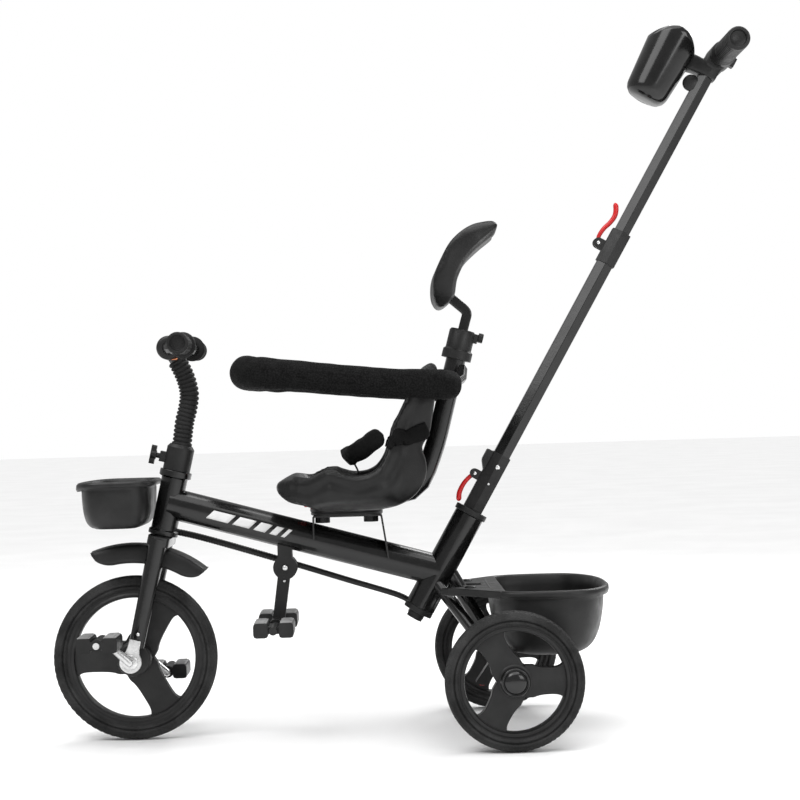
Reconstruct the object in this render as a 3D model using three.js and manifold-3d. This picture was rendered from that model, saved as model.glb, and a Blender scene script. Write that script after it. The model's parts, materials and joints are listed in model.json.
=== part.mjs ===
// A push tricycle for a small child: a pedalled front wheel, a bucket seat that turns on a plate,
// a padded guard ring, two baskets and a telescopic push handle that steers the fork by a rod.
// Millimetres. +X runs to the rear, +Y to the rider's right, +Z up; the ground is Z = 0.
import * as THREE from 'three';
import { mergeVertices } from 'three/addons/utils/BufferGeometryUtils.js';
import Module from 'manifold-3d';

const wasm = await Module();
wasm.setup();

// ---- driving dimensions -------------------------------------------------------------------
const GAP = 0.3; // between pieces that touch
const RUN = 0.4; // between a shaft and the hole that it turns in

const WHEELBASE = 564;
const FRONT = { radius: 125, tyreDepth: 19, tyreHalf: 16, rimInner: 90, rimHalf: 14, spoke: 43, web: 9 };
const REAR = { radius: 100, tyreDepth: 17, tyreHalf: 17, rimInner: 70, rimHalf: 14, spoke: 40, web: 9 };
const REAR_TRACK = 197; // from the middle plane to the middle of a rear tyre
const HUB_RADIUS = 26;
const FRONT_HUB_HALF = 31;
const REAR_HUB_IN = 30; // how far a rear hub reaches towards the middle from its tyre's plane
const REAR_HUB_OUT = 10;
const CAP_RADIUS = 21.5;
const CAP_PROUD = 8;

const AXLE_RADIUS = 6;
const CRANK_LENGTH = 52;
const CRANK_ANGLE = THREE.MathUtils.degToRad(137); // of the left crank, from +X towards +Z
const CRANK_OUT = 72; // middle of a crank arm, from the middle plane
const PEDAL_IN = 82;
const PEDAL_LENGTH = 62;
const PEDAL_PAD = 22;
const PEDAL_SPREAD = 19;

const RAKE = THREE.MathUtils.degToRad(13.5); // of the steering axis, leaning to the rear
const STEER_FOOT = 2; // where the axis crosses the front axle's height
const LEG_SPACE = 46;
const LEG_TOP_RADIUS = 14;
const LEG_LOW_RADIUS = 12;
const LEG_LOW = 22; // heights along the steering axis, from the front axle
const CROWN_LOW = 177;
const CROWN_TOP = 191;
const CROWN_HALF_DEPTH = 17;
const HEAD_LOW = 198;
const HEAD_TOP = 280;
const HEAD_RADIUS = 20;
const STEERER_RADIUS = 13;
const CUP_RADIUS = 23;
const RING_RADIUS = 24.5;
const RING_HEIGHT = 11.4;
const CLAMP_HEIGHT = 40;
const CLAMP_RADIUS = 21;
const FENDER_RADIUS = 176;
const FENDER_HALF = 29;
const FENDER_WALL = 3;
const FENDER_SKIRT = 26;
const FENDER_FROM = THREE.MathUtils.degToRad(50);
const FENDER_TO = THREE.MathUtils.degToRad(109);
const STEM_RADIUS = 11;
const SLEEVE_RADIUS = 14;
const SLEEVE_PLAY = 1.3; // the ribbed sleeve is loose on the stem
const BAR_RADIUS = 11;
const BAR_HALF = 150;
const BAR_HUB_RADIUS = 18.4;
const BAR_HUB_HALF = 24;
const GRIP_RADIUS = 15;
const GRIP_LENGTH = 80;

const MAIN_RADIUS = 24;
const MAIN_WALL = 2;
const SOCKET_RADIUS = 23;
const SOCKET_WALL = 2.5;
const SOCKET_LENGTH = 160;
const SOCKET_TOP = { x: 516.8, z: 327.4 };
const HANDLE_LEAN = THREE.MathUtils.degToRad(30);
const SOCKET_COLLAR_RADIUS = 25.5;
const SOCKET_COLLAR_HEIGHT = 9;
const INSERT_RADIUS = 12.3;
const CRANK_REACH = 30; // of both steering arms, and the rod's offset from the middle plane
const ROD_RADIUS = 4;
const ROD_PIN = 2.5;
const ROD_EYE = 6.5;
const CAP_THICK = 8;
const ARM_THICK = 6;

const BEAM_RADIUS = 13;
const BEAM_HALF = 160;
const STAY_RADIUS = 9;
const STRUT_RADIUS = 11;

// ---- building blocks ----------------------------------------------------------------------
const V2 = (x, y) => new THREE.Vector2(x, y);
const V3 = (x, y, z) => new THREE.Vector3(x, y, z);

// A closed geometry as a manifold solid.
function solid(geometry) {
  const plain = geometry.clone();
  plain.deleteAttribute('normal');
  plain.deleteAttribute('uv');
  const merged = mergeVertices(plain, 1e-4);
  const mesh = new wasm.Mesh({
    numProp: 3,
    vertProperties: new Float32Array(merged.attributes.position.array),
    triVerts: new Uint32Array(merged.index.array),
  });
  return new wasm.Manifold(mesh);
}

// A manifold solid as a geometry.
function shell(body) {
  const mesh = body.getMesh();
  const geometry = new THREE.BufferGeometry();
  geometry.setAttribute('position', new THREE.BufferAttribute(mesh.vertProperties, 3));
  geometry.setIndex(new THREE.BufferAttribute(mesh.triVerts, 1));
  geometry.computeVertexNormals();
  return geometry;
}

const join = (first, ...rest) => rest.reduce((sum, g) => sum.add(solid(g)), solid(first));
const cut = (body, ...tools) => tools.reduce((left, g) => left.subtract(solid(g)), body);

// A cylinder or cone from one point to another.
function rod(from, to, radius, sides = 20, radiusTo = radius) {
  const length = from.distanceTo(to);
  const geometry = new THREE.CylinderGeometry(radiusTo, radius, length, sides);
  const along = to.clone().sub(from).normalize();
  const turn = new THREE.Quaternion().setFromUnitVectors(V3(0, 1, 0), along);
  geometry.applyQuaternion(turn);
  const middle = from.clone().add(to).multiplyScalar(0.5);
  return geometry.translate(middle.x, middle.y, middle.z);
}

const rodY = (x, z, y0, y1, radius, sides = 14) => rod(V3(x, y0, z), V3(x, y1, z), radius, sides);
const rodZ = (x, y, z0, z1, radius, sides = 14) => rod(V3(x, y, z0), V3(x, y, z1), radius, sides);

function ball(centre, radius, sides = 8) {
  const geometry = new THREE.SphereGeometry(radius, sides, Math.round(sides / 2));
  return geometry.translate(centre.x, centre.y, centre.z);
}

function block(x0, x1, y0, y1, z0, z1) {
  const geometry = new THREE.BoxGeometry(x1 - x0, y1 - y0, z1 - z0);
  return geometry.translate((x0 + x1) / 2, (y0 + y1) / 2, (z0 + z1) / 2);
}

// A shape drawn in side view (X to the rear, Z up) given its thickness across the tricycle.
function sideCut(shape, y0, y1, curveSegments = 3) {
  const options = { depth: y1 - y0, bevelEnabled: false, curveSegments };
  return new THREE.ExtrudeGeometry(shape, options).rotateX(Math.PI / 2).translate(0, y1, 0);
}

// A shape drawn in plan, given its height.
function planCut(shape, z0, z1, curveSegments = 3) {
  const options = { depth: z1 - z0, bevelEnabled: false, curveSegments };
  return new THREE.ExtrudeGeometry(shape, options).translate(0, 0, z1 > z0 ? z0 : z1);
}

// A polygon with each corner rounded by its own reach, given as the third number of a point.
function rounded(points) {
  const shape = new THREE.Shape();
  points.forEach(([x, y, reach = 0], i) => {
    const corner = V2(x, y);
    const before = V2(...points[(i + points.length - 1) % points.length]);
    const after = V2(...points[(i + 1) % points.length]);
    const room = 0.48 * Math.min(before.distanceTo(corner), after.distanceTo(corner));
    const used = Math.max(Math.min(reach, room), 1e-3);
    const start = corner.clone().add(before.sub(corner).setLength(used));
    const end = corner.clone().add(after.sub(corner).setLength(used));
    if (i === 0) shape.moveTo(start.x, start.y);
    else shape.lineTo(start.x, start.y);
    if (reach > 0) shape.quadraticCurveTo(x, y, end.x, end.y);
  });
  shape.closePath();
  return shape;
}

// A round bar or, with a bore, a tube that follows points; ends are flat.
function sweep(points, radius, { bore = 0, sides = 12, steps = 24, flatten = 1 } = {}) {
  const shape = new THREE.Shape().absellipse(0, 0, radius, radius * flatten, 0, Math.PI * 2, false, 0);
  if (bore > 0) {
    const hole = new THREE.Path().absellipse(0, 0, bore, bore * flatten, 0, Math.PI * 2, true, 0);
    shape.holes.push(hole);
  }
  const path = new THREE.CatmullRomCurve3(points, false, 'centripetal');
  const options = { extrudePath: path, steps, curveSegments: Math.round(sides / 2), bevelEnabled: false };
  return new THREE.ExtrudeGeometry(shape, options);
}

// A ring of revolution about the Y axis from a closed outline of [radius, y] points.
function turned(outline, segments = 40) {
  const points = outline.map(([r, y]) => V2(r, y));
  if (THREE.ShapeUtils.area(points) < 0) points.reverse();
  points.push(points[0].clone());
  return new THREE.LatheGeometry(points, segments);
}

// The same, about the Z axis, from [radius, z] points.
const turnedZ = (outline, segments = 20) => turned(outline, segments).rotateX(Math.PI / 2);

const ring = (inner, outer, z0, z1, segments = 20) =>
  turnedZ([[inner, z0], [inner, z1], [outer, z1], [outer, z0]], segments);

const paint = (color, roughness, metalness) => ({ color, roughness, metalness });
const FRAME_PAINT = paint(0x0c0c0d, 0.3, 0.4);
const PLASTIC = paint(0x141415, 0.55, 0);
const RUBBER = paint(0x1a1a1b, 0.85, 0);
const ZINC = paint(0xb9bcc0, 0.35, 1);
const FABRIC = paint(0x101011, 0.95, 0);
const LEATHER = paint(0x111112, 0.5, 0);
const RED = paint(0xc8141c, 0.4, 0);

const tricycle = new THREE.Group();

// Adds one named piece; a manifold solid or a geometry is taken.
function piece(name, form, look, parent = tricycle) {
  const geometry = form.isBufferGeometry ? form : shell(form);
  const mesh = new THREE.Mesh(geometry, new THREE.MeshStandardMaterial(look));
  mesh.name = name;
  parent.add(mesh);
  return mesh;
}

// A group whose +Z leans to the rear, standing at a point of the middle plane.
function leaning(x, z, lean) {
  const group = new THREE.Group();
  group.position.set(x, 0, z);
  group.rotation.y = lean;
  tricycle.add(group);
  return group;
}

const SIDES = [['left', -1], ['right', 1]];

// ---- wheels -------------------------------------------------------------------------------
// The tyre is a ring with a rounded tread; its inner face rests on the rim.
function tyre(size, segments) {
  const seat = size.radius - size.tyreDepth;
  const outer = size.radius;
  const half = size.tyreHalf;
  const outline = [
    [seat, -half * 0.8], [seat + 5, -half], [outer - 6, -half * 0.88], [outer - 1.5, -half * 0.55],
    [outer, 0], [outer - 1.5, half * 0.55], [outer - 6, half * 0.88], [seat + 5, half], [seat, half * 0.8],
  ];
  return turned(outline, segments);
}

// One opening between two spokes, drawn around +X and rounded at its three corners.
function opening(size) {
  const inner = HUB_RADIUS + 9;
  const outer = size.rimInner;
  const spread = Math.PI / 3 - Math.asin((size.spoke / 2 + 5) / outer);
  const points = [[inner, 0, 10]];
  for (let k = 0; k <= 4; k += 1) {
    const angle = -spread + (k * spread) / 2;
    points.push([outer * Math.cos(angle), outer * Math.sin(angle), k % 4 ? 0 : 13]);
  }
  return rounded(points);
}

// Rim, three broad spokes and hub in one moulding, bored for the axle.
function wheel(size, firstSpoke, hubIn, hubOut, segments) {
  const rimOuter = size.radius - size.tyreDepth - GAP;
  const rim = [
    [size.rimInner, -size.rimHalf], [size.rimInner, size.rimHalf],
    [rimOuter, size.rimHalf * 0.85], [rimOuter, -size.rimHalf * 0.85],
  ];
  const disc = new THREE.CylinderGeometry(size.rimInner + 2, size.rimInner + 2, size.web * 2, segments);
  const openings = [60, 180, 300].map((degrees) => {
    const hole = sideCut(opening(size), -size.web - 1, size.web + 1);
    return hole.rotateY(-THREE.MathUtils.degToRad(degrees + firstSpoke));
  });
  const web = cut(solid(disc), ...openings);
  const hub = rodY(0, 0, -hubIn, hubOut, HUB_RADIUS, 20);
  const body = web.add(solid(turned(rim, segments))).add(solid(hub));
  return cut(body, rodY(0, 0, -hubIn - 1, hubOut + 1, AXLE_RADIUS + RUN, 16));
}

// A pedal around its spindle: a barrel, a web and a tread pad on each side of it.
function pedal(spindle) {
  const half = PEDAL_LENGTH / 2;
  const padHalf = PEDAL_PAD / 2;
  const barrel = rodY(0, 0, -half, half, spindle + 4.5, 16);
  const web = block(-PEDAL_SPREAD, PEDAL_SPREAD, -half + 3, half - 3, -5, 5);
  const pad = rounded([
    [-padHalf, -11, 5], [padHalf, -11, 5], [padHalf, 11, 5], [-padHalf, 11, 5],
  ]);
  const pads = [-1, 1].map((side) => sideCut(pad, -half, half, 2).translate(side * PEDAL_SPREAD, 0, 0));
  return cut(join(barrel, web, ...pads), rodY(0, 0, -half - 1, half + 1, spindle + RUN, 12));
}

const frontAxle = new THREE.Group();
frontAxle.position.z = FRONT.radius;
tricycle.add(frontAxle);
piece('front_tyre', tyre(FRONT, 36), RUBBER, frontAxle);
piece('front_wheel', wheel(FRONT, 60, FRONT_HUB_HALF, FRONT_HUB_HALF, 36), PLASTIC, frontAxle);

// Axle and both cranks, bent from one bar.
function crankAxle() {
  const reach = V3(Math.cos(CRANK_ANGLE), 0, Math.sin(CRANK_ANGLE)).multiplyScalar(CRANK_LENGTH);
  const parts = [rodY(0, 0, -CRANK_OUT, CRANK_OUT, AXLE_RADIUS, 16)];
  for (const [, side] of SIDES) {
    const foot = V3(0, side * CRANK_OUT, 0);
    const elbow = reach.clone().multiplyScalar(-side).setY(side * CRANK_OUT);
    const tip = elbow.clone().setY(side * (PEDAL_IN + PEDAL_LENGTH + 2));
    parts.push(rod(foot, elbow, AXLE_RADIUS, 16), ball(foot, AXLE_RADIUS), ball(elbow, AXLE_RADIUS));
    parts.push(rod(elbow, tip, AXLE_RADIUS - 1, 12));
  }
  return { form: join(...parts), reach };
}

const cranks = crankAxle();
piece('crank_axle', cranks.form, ZINC, frontAxle);
for (const [name, side] of SIDES) {
  const one = piece(`pedal_${name}`, pedal(AXLE_RADIUS - 1), PLASTIC, frontAxle);
  one.position.copy(cranks.reach).multiplyScalar(-side).setY(side * (PEDAL_IN + PEDAL_LENGTH / 2));
}

const rearAxle = new THREE.Group();
rearAxle.position.set(WHEELBASE, 0, REAR.radius);
tricycle.add(rearAxle);
piece('rear_axle', rodY(0, 0, -REAR_TRACK - REAR_HUB_OUT + 2, REAR_TRACK + REAR_HUB_OUT - 2,
  AXLE_RADIUS, 16),
  ZINC, rearAxle);
for (const [name, side] of SIDES) {
  const group = new THREE.Group();
  group.position.y = side * REAR_TRACK;
  if (side < 0) group.rotation.z = Math.PI; // the same wheel, with its outer face outwards
  rearAxle.add(group);
  const first = side < 0 ? 60 : 0;
  piece(`rear_tyre_${name}`, tyre(REAR, 32), RUBBER, group);
  piece(`rear_wheel_${name}`, wheel(REAR, first, REAR_HUB_IN, REAR_HUB_OUT, 32), PLASTIC, group);
  const domeTop = REAR.tyreHalf + CAP_PROUD;
  const dome = [
    [0, REAR_HUB_OUT + GAP], [CAP_RADIUS, REAR_HUB_OUT + GAP], [CAP_RADIUS, domeTop - 6],
    [CAP_RADIUS - 2.5, domeTop - 3], [CAP_RADIUS - 9, domeTop - 0.8], [0, domeTop],
  ];
  piece(`hub_cap_${name}`, new THREE.LatheGeometry(dome.map(([r, y]) => V2(r, y)), 24), PLASTIC, group);
}

// ---- fork and steering --------------------------------------------------------------------
const steer = leaning(STEER_FOOT, FRONT.radius, RAKE);

// Legs, crown and steerer; the crown has an eye for the steering rod on its right.
function fork() {
  const legs = SIDES.map(([, side]) =>
    rod(V3(0, side * LEG_SPACE, LEG_LOW), V3(0, side * LEG_SPACE, CROWN_TOP - 3), LEG_LOW_RADIUS, 24,
      LEG_TOP_RADIUS));
  const depth = CROWN_HALF_DEPTH;
  const crownEnd = LEG_SPACE + LEG_TOP_RADIUS - 3;
  const crownShape = rounded([
    [-depth, -crownEnd, 12], [depth, -crownEnd, 12], [depth, crownEnd, 12], [-depth, crownEnd, 12],
  ]);
  const crown = planCut(crownShape, CROWN_LOW, CROWN_TOP, 4);
  const steerer = rodZ(0, 0, CROWN_LOW + 2, HEAD_TOP + RING_HEIGHT + 26, STEERER_RADIUS, 24);
  const bore = rodZ(0, 0, HEAD_LOW + 40, HEAD_TOP + 90, STEM_RADIUS + GAP, 24);
  const eye = rodZ(0, CRANK_REACH, CROWN_LOW + 3, CROWN_TOP + 5, ROD_EYE, 16);
  return cut(join(...legs, crown, steerer), bore, eye);
}
piece('fork', fork(), FRAME_PAINT, steer);

// Bright end plates, bolted to the outside of the legs, hold the axle.
for (const [name, side] of SIDES) {
  const neck = 9;
  const eyeRadius = 17;
  const outline = new THREE.Shape();
  const meet = Math.asin(neck / eyeRadius);
  outline.moveTo(neck, 50);
  outline.absarc(0, 0, eyeRadius, Math.PI / 2 - meet, Math.PI / 2 + meet, true);
  outline.lineTo(-neck, 50);
  outline.closePath();
  const inner = LEG_SPACE + LEG_TOP_RADIUS + GAP;
  const plate = sideCut(outline, inner, inner + 3, 10);
  const hole = rodY(0, 0, inner - 1, inner + 4, AXLE_RADIUS + RUN, 16);
  const boltHead = rodY(0, 40, inner + 2, inner + 5, 5, 6);
  const one = piece(`fork_end_${name}`, cut(join(plate, boltHead), hole), ZINC, steer);
  one.rotation.z = side < 0 ? Math.PI : 0;
  one.position.set(-STEER_FOOT * Math.cos(RAKE), 0, -STEER_FOOT * Math.sin(RAKE));
}

// Mudguard: a channel round the wheel's own centre, under the crown.
function fender() {
  const top = FENDER_RADIUS;
  const low = top - FENDER_SKIRT;
  const inner = FENDER_HALF - FENDER_WALL;
  const channel = turned([
    [low, -FENDER_HALF], [low, -inner], [top - FENDER_WALL, -inner + 6], [top - FENDER_WALL, inner - 6],
    [low, inner], [low, FENDER_HALF], [top - 6, FENDER_HALF], [top, FENDER_HALF - 8],
    [top, -FENDER_HALF + 8], [top - 6, -FENDER_HALF],
  ], 60);
  const far = top + 30;
  const near = low - 30;
  const at = (radius, angle, reach) => [radius * Math.cos(angle), radius * Math.sin(angle), reach];
  const mid = (FENDER_FROM + FENDER_TO) / 2;
  const inset = THREE.MathUtils.degToRad(3);
  const wedge = rounded([
    at(near, FENDER_FROM - inset, 0), at(top - 4, FENDER_FROM, 6), at(far, FENDER_FROM + inset, 0),
    at(far * 1.2, mid, 0), at(far, FENDER_TO - inset, 0), at(top - 4, FENDER_TO, 6),
    at(near, FENDER_TO + inset, 0), at(near * 0.8, mid, 0),
  ]);
  return solid(channel).intersect(solid(sideCut(wedge, -FENDER_HALF - 5, FENDER_HALF + 5)));
}
const fenderPiece = piece('front_fender', fender(), PLASTIC);
fenderPiece.position.z = FRONT.radius;

const headTube = turnedZ([
  [STEERER_RADIUS + RUN, CROWN_TOP + GAP], [CUP_RADIUS, CROWN_TOP + GAP], [CUP_RADIUS, HEAD_LOW],
  [HEAD_RADIUS, HEAD_LOW + 2], [HEAD_RADIUS, HEAD_TOP], [RING_RADIUS, HEAD_TOP + 2],
  [RING_RADIUS, HEAD_TOP + RING_HEIGHT], [STEERER_RADIUS + RUN, HEAD_TOP + RING_HEIGHT],
  [STEERER_RADIUS + RUN, HEAD_TOP], [STEERER_RADIUS + 2, HEAD_TOP - 2],
  [STEERER_RADIUS + 2, HEAD_LOW + 2], [STEERER_RADIUS + RUN, HEAD_LOW],
]);
piece('head_tube', headTube, FRAME_PAINT, steer);
const ringTop = HEAD_TOP + RING_HEIGHT;

// Split clamp that pinches the steerer on the stem, and its wing knob at the front.
const clampLow = ringTop + GAP;
const clampTop = clampLow + CLAMP_HEIGHT;
function stemClamp() {
  const body = turnedZ([
    [STEERER_RADIUS + GAP, clampLow], [STEERER_RADIUS + GAP, clampTop - 8], [STEM_RADIUS + GAP,
      clampTop - 7],
    [STEM_RADIUS + GAP, clampTop], [CLAMP_RADIUS - 4, clampTop], [CLAMP_RADIUS, clampTop - 5],
    [CLAMP_RADIUS, clampLow],
  ]);
  const lug = block(-CLAMP_RADIUS - 8, -CLAMP_RADIUS + 4, -7, 7, clampLow + 9, clampLow + 25);
  const bolt = rod(V3(-CLAMP_RADIUS - 9, 0, clampLow + 17), V3(-STEERER_RADIUS - 3, 0, clampLow + 17),
    4 + GAP, 12);
  return cut(join(body, lug), bolt);
}
piece('stem_clamp', stemClamp(), PLASTIC, steer);
function wingKnob() {
  const z = clampLow + 17;
  const tip = -CLAMP_RADIUS - 22;
  const shank = rod(V3(-STEERER_RADIUS - 3.5, 0, z), V3(tip + 3, 0, z), 4, 12);
  const boss = rod(V3(tip + 8, 0, z), V3(tip, 0, z), 7, 16);
  const wing = rounded([[-14.5, -4, 3], [14.5, -4, 3], [14.5, 4, 3], [-14.5, 4, 3]]);
  const blade = new THREE.ExtrudeGeometry(wing, { depth: 8, bevelEnabled: false, curveSegments: 3 });
  blade.rotateZ(Math.PI / 2).rotateY(Math.PI / 2).rotateX(Math.PI / 2).translate(tip - 1, 0, z);
  return join(shank, boss, blade);
}
piece('clamp_knob', wingKnob(), PLASTIC, steer);

// Stem: a bent tube whose upper end carries the handlebar hub, in a ribbed sleeve.
const stemRoute = [
  V3(80.5, 0, 452), V3(85, 0, 482), V3(90.6, 0, 503.5), V3(93.4, 0, 525), V3(89.7, 0, 546),
  V3(82.7, 0, 564), V3(74, 0, 580),
];
const barCentre = V3(65.6, 0, 596);
const axisPoint = (t) => V3(STEER_FOOT + t * Math.sin(RAKE), 0, FRONT.radius + t * Math.cos(RAKE));
const stemFoot = axisPoint(HEAD_LOW + 44);
const sleeveFoot = axisPoint(clampTop + GAP + 0.5);
const sleeveRoute = [sleeveFoot, axisPoint(clampTop + 14), ...stemRoute.slice(1)];
const hubRoom = rodY(barCentre.x, barCentre.z, -40, 40, BAR_HUB_RADIUS + GAP, 24);
const sleeveTube = sweep(sleeveRoute, SLEEVE_RADIUS, { bore: STEM_RADIUS + SLEEVE_PLAY, sides: 10,
  steps: 12 });
piece('stem_sleeve', cut(solid(sleeveTube), hubRoom), RUBBER);
const stemPath = [stemFoot, axisPoint(clampTop - 20), ...sleeveRoute.slice(0, -1), V3(74, 0, 580),
  V3(68, 0, 590)];
piece('stem', cut(solid(sweep(stemPath, STEM_RADIUS, { sides: 10, steps: 16 })), hubRoom), FRAME_PAINT);

// Handlebar, swept back to level grips.
const gripLine = { x: 93, z: 597 };
const barRoute = (side) => [
  V3(barCentre.x, side * (BAR_HUB_HALF - 12), barCentre.z), V3(barCentre.x + 4, side * 33, barCentre.z),
  V3(gripLine.x - 5, side * 50, gripLine.z), V3(gripLine.x, side * (BAR_HALF - GRIP_LENGTH - 9),
    gripLine.z),
  V3(gripLine.x, side * (BAR_HALF - GRIP_LENGTH - 4), gripLine.z), V3(gripLine.x,
    side * (BAR_HALF - 7), gripLine.z),
];
function handlebar() {
  const halves = SIDES.map(([, side]) => solid(sweep(barRoute(side), BAR_RADIUS, { sides: 10, steps: 9 })));
  const middle = rodY(barCentre.x, barCentre.z, -BAR_HUB_HALF + 10, BAR_HUB_HALF - 10, BAR_RADIUS, 20);
  return halves[0].add(halves[1]).add(solid(middle));
}
const barBody = handlebar();
piece('handlebar', barBody, FRAME_PAINT);
const hubShell = solid(rodY(barCentre.x, barCentre.z, -BAR_HUB_HALF, BAR_HUB_HALF, BAR_HUB_RADIUS, 24));
const barRoom = [
  rodY(barCentre.x, barCentre.z, -BAR_HUB_HALF - 1, BAR_HUB_HALF + 1, BAR_RADIUS + 3, 20),
];
piece('handlebar_hub', cut(hubShell, ...barRoom), PLASTIC);
for (const [name, side] of SIDES) {
  const end = GRIP_LENGTH;
  const grip = turned([
    [BAR_RADIUS + 0.5, 0], [BAR_RADIUS + 0.5, end - 6.5], [4, end - 6], [4, end], [GRIP_RADIUS - 3, end],
    [GRIP_RADIUS + 1, end - 4], [GRIP_RADIUS + 1, end - 10], [GRIP_RADIUS - 1.5, end - 14],
    [GRIP_RADIUS - 1.5, 8], [GRIP_RADIUS + 4, 6], [GRIP_RADIUS + 4, 0],
  ], 16);
  const one = piece(`grip_${name}`, grip, RUBBER);
  one.rotation.z = side < 0 ? Math.PI : 0;
  one.position.set(gripLine.x, side * (BAR_HALF - GRIP_LENGTH), gripLine.z);
}

// ---- main frame ---------------------------------------------------------------------------
const handle = leaning(SOCKET_TOP.x, SOCKET_TOP.z, HANDLE_LEAN);
// A point of the push handle's axis, at a height measured from the socket's top.
const handlePoint = (t, p = 0) => V3(
  SOCKET_TOP.x + t * Math.sin(HANDLE_LEAN) + p * Math.cos(HANDLE_LEAN), 0,
  SOCKET_TOP.z + t * Math.cos(HANDLE_LEAN) - p * Math.sin(HANDLE_LEAN));

const mainFront = axisPoint(241);
const mainRear = handlePoint(-97);
const mainPoint = (x) => V3(x, 0,
  mainFront.z + ((x - mainFront.x) * (mainRear.z - mainFront.z)) / (mainRear.x - mainFront.x));
const headRoom = rod(axisPoint(HEAD_LOW - 60), axisPoint(HEAD_TOP + 60), HEAD_RADIUS + GAP + 0.3, 20);
const socketRoom = rod(handlePoint(-SOCKET_LENGTH - 40), handlePoint(40), SOCKET_RADIUS + GAP + 0.3, 20);
const mainTube = rod(mainFront, mainRear, MAIN_RADIUS, 24);
const mainBore = rod(mainFront, mainRear, MAIN_RADIUS - MAIN_WALL, 16);
piece('main_tube', cut(solid(mainTube), mainBore, headRoom, socketRoom), FRAME_PAINT);
piece('handle_socket', ring(SOCKET_RADIUS - SOCKET_WALL, SOCKET_RADIUS, -SOCKET_LENGTH, 0),
  FRAME_PAINT, handle);

// Plastic bushes at both ends of the socket, in which the handle turns.
const bushRadius = SOCKET_RADIUS - SOCKET_WALL - GAP;
piece('socket_collar', turnedZ([
  [INSERT_RADIUS + RUN, -24], [bushRadius, -24], [bushRadius, GAP], [SOCKET_COLLAR_RADIUS, GAP],
  [SOCKET_COLLAR_RADIUS, SOCKET_COLLAR_HEIGHT], [INSERT_RADIUS + RUN, SOCKET_COLLAR_HEIGHT],
]), PLASTIC, handle);
const capLow = -SOCKET_LENGTH - GAP - CAP_THICK;
piece('socket_cap', turnedZ([
  [INSERT_RADIUS + RUN, capLow], [SOCKET_RADIUS, capLow], [SOCKET_RADIUS, -SOCKET_LENGTH - GAP],
  [bushRadius, -SOCKET_LENGTH - GAP], [bushRadius, -SOCKET_LENGTH + 20], [INSERT_RADIUS + RUN,
    -SOCKET_LENGTH + 20],
]), PLASTIC, handle);

// Rear frame: the axle beam, a centre strut and two splayed stays, welded to the socket.
function rearFrame() {
  const beam = V3(WHEELBASE, 0, REAR.radius);
  const parts = [rodY(beam.x, beam.z, -BEAM_HALF, BEAM_HALF, BEAM_RADIUS, 24)];
  parts.push(rod(handlePoint(-85, 5), beam, STRUT_RADIUS, 20));
  for (const [, side] of SIDES) {
    const top = handlePoint(-115, 4).setY(side * 14);
    const foot = V3(WHEELBASE - 10, side * 92, REAR.radius + 3);
    parts.push(rod(top, foot, STAY_RADIUS, 16));
  }
  const bore = rodY(beam.x, beam.z, -BEAM_HALF - 1, BEAM_HALF + 1, AXLE_RADIUS + RUN, 16);
  return cut(join(...parts), socketRoom, bore, rod(mainFront, mainRear, MAIN_RADIUS + GAP, 32));
}
piece('rear_frame', rearFrame(), FRAME_PAINT);

// ---- baskets ------------------------------------------------------------------------------
// An extruded plan outline whose sections shrink towards the bottom about a centre.
function tub(outline, z0, z1, centre, shrink, steps = 4) {
  const options = { depth: z1 - z0, steps, bevelEnabled: false, curveSegments: 4 };
  const geometry = new THREE.ExtrudeGeometry(outline, options).translate(0, 0, z0);
  const at = geometry.attributes.position;
  for (let i = 0; i < at.count; i += 1) {
    const depth = (z1 - at.getZ(i)) / (z1 - z0);
    const factor = 1 - shrink * depth ** 2.2 - 0.07 * depth;
    at.setX(i, centre.x + (at.getX(i) - centre.x) * factor);
    at.setY(i, centre.y + (at.getY(i) - centre.y) * factor);
  }
  return geometry;
}

const basketPlan = (x0, x1, half, frontReach, rearReach) => rounded([
  [x0, -half, frontReach], [x1, -half, rearReach], [x1, half, rearReach], [x0, half, frontReach],
]);
const grow = (plan, d) => basketPlan(plan.x0 - d, plan.x1 + d, plan.half + d, plan.front, plan.rear);

// A basket is an outer tub less an inner one, with a rolled rim.
function basket(plan, z0, z1, wall, lip, shrink) {
  const centre = V2((plan.x0 + plan.x1) / 2, 0);
  const outer = tub(grow(plan, 0), z0, z1, centre, shrink);
  const rim = planCut(grow(plan, lip), z1 - 13, z1, 5);
  const inner = tub(grow(plan, -wall), z0 + wall, z1 + wall, centre, shrink);
  return cut(join(outer, rim), inner);
}
const FRONT_BASKET = { x0: -69, x1: 31, half: 88, front: 46, rear: 24, low: 325, top: 397, lip: 10 };
const REAR_BASKET = {
  x0: WHEELBASE - 18, x1: WHEELBASE + 148, half: 139, front: 34, rear: 92, low: 123, top: 222, lip: 11,
};
const BASKET_WALL = 3;
const frontTub = basket(FRONT_BASKET, FRONT_BASKET.low, FRONT_BASKET.top, BASKET_WALL,
  FRONT_BASKET.lip, 0.12);
const headClear = rod(axisPoint(HEAD_LOW - 60), axisPoint(HEAD_TOP + 60), RING_RADIUS + 1.5, 32);
piece('front_basket', cut(frontTub, headClear), PLASTIC);

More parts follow.
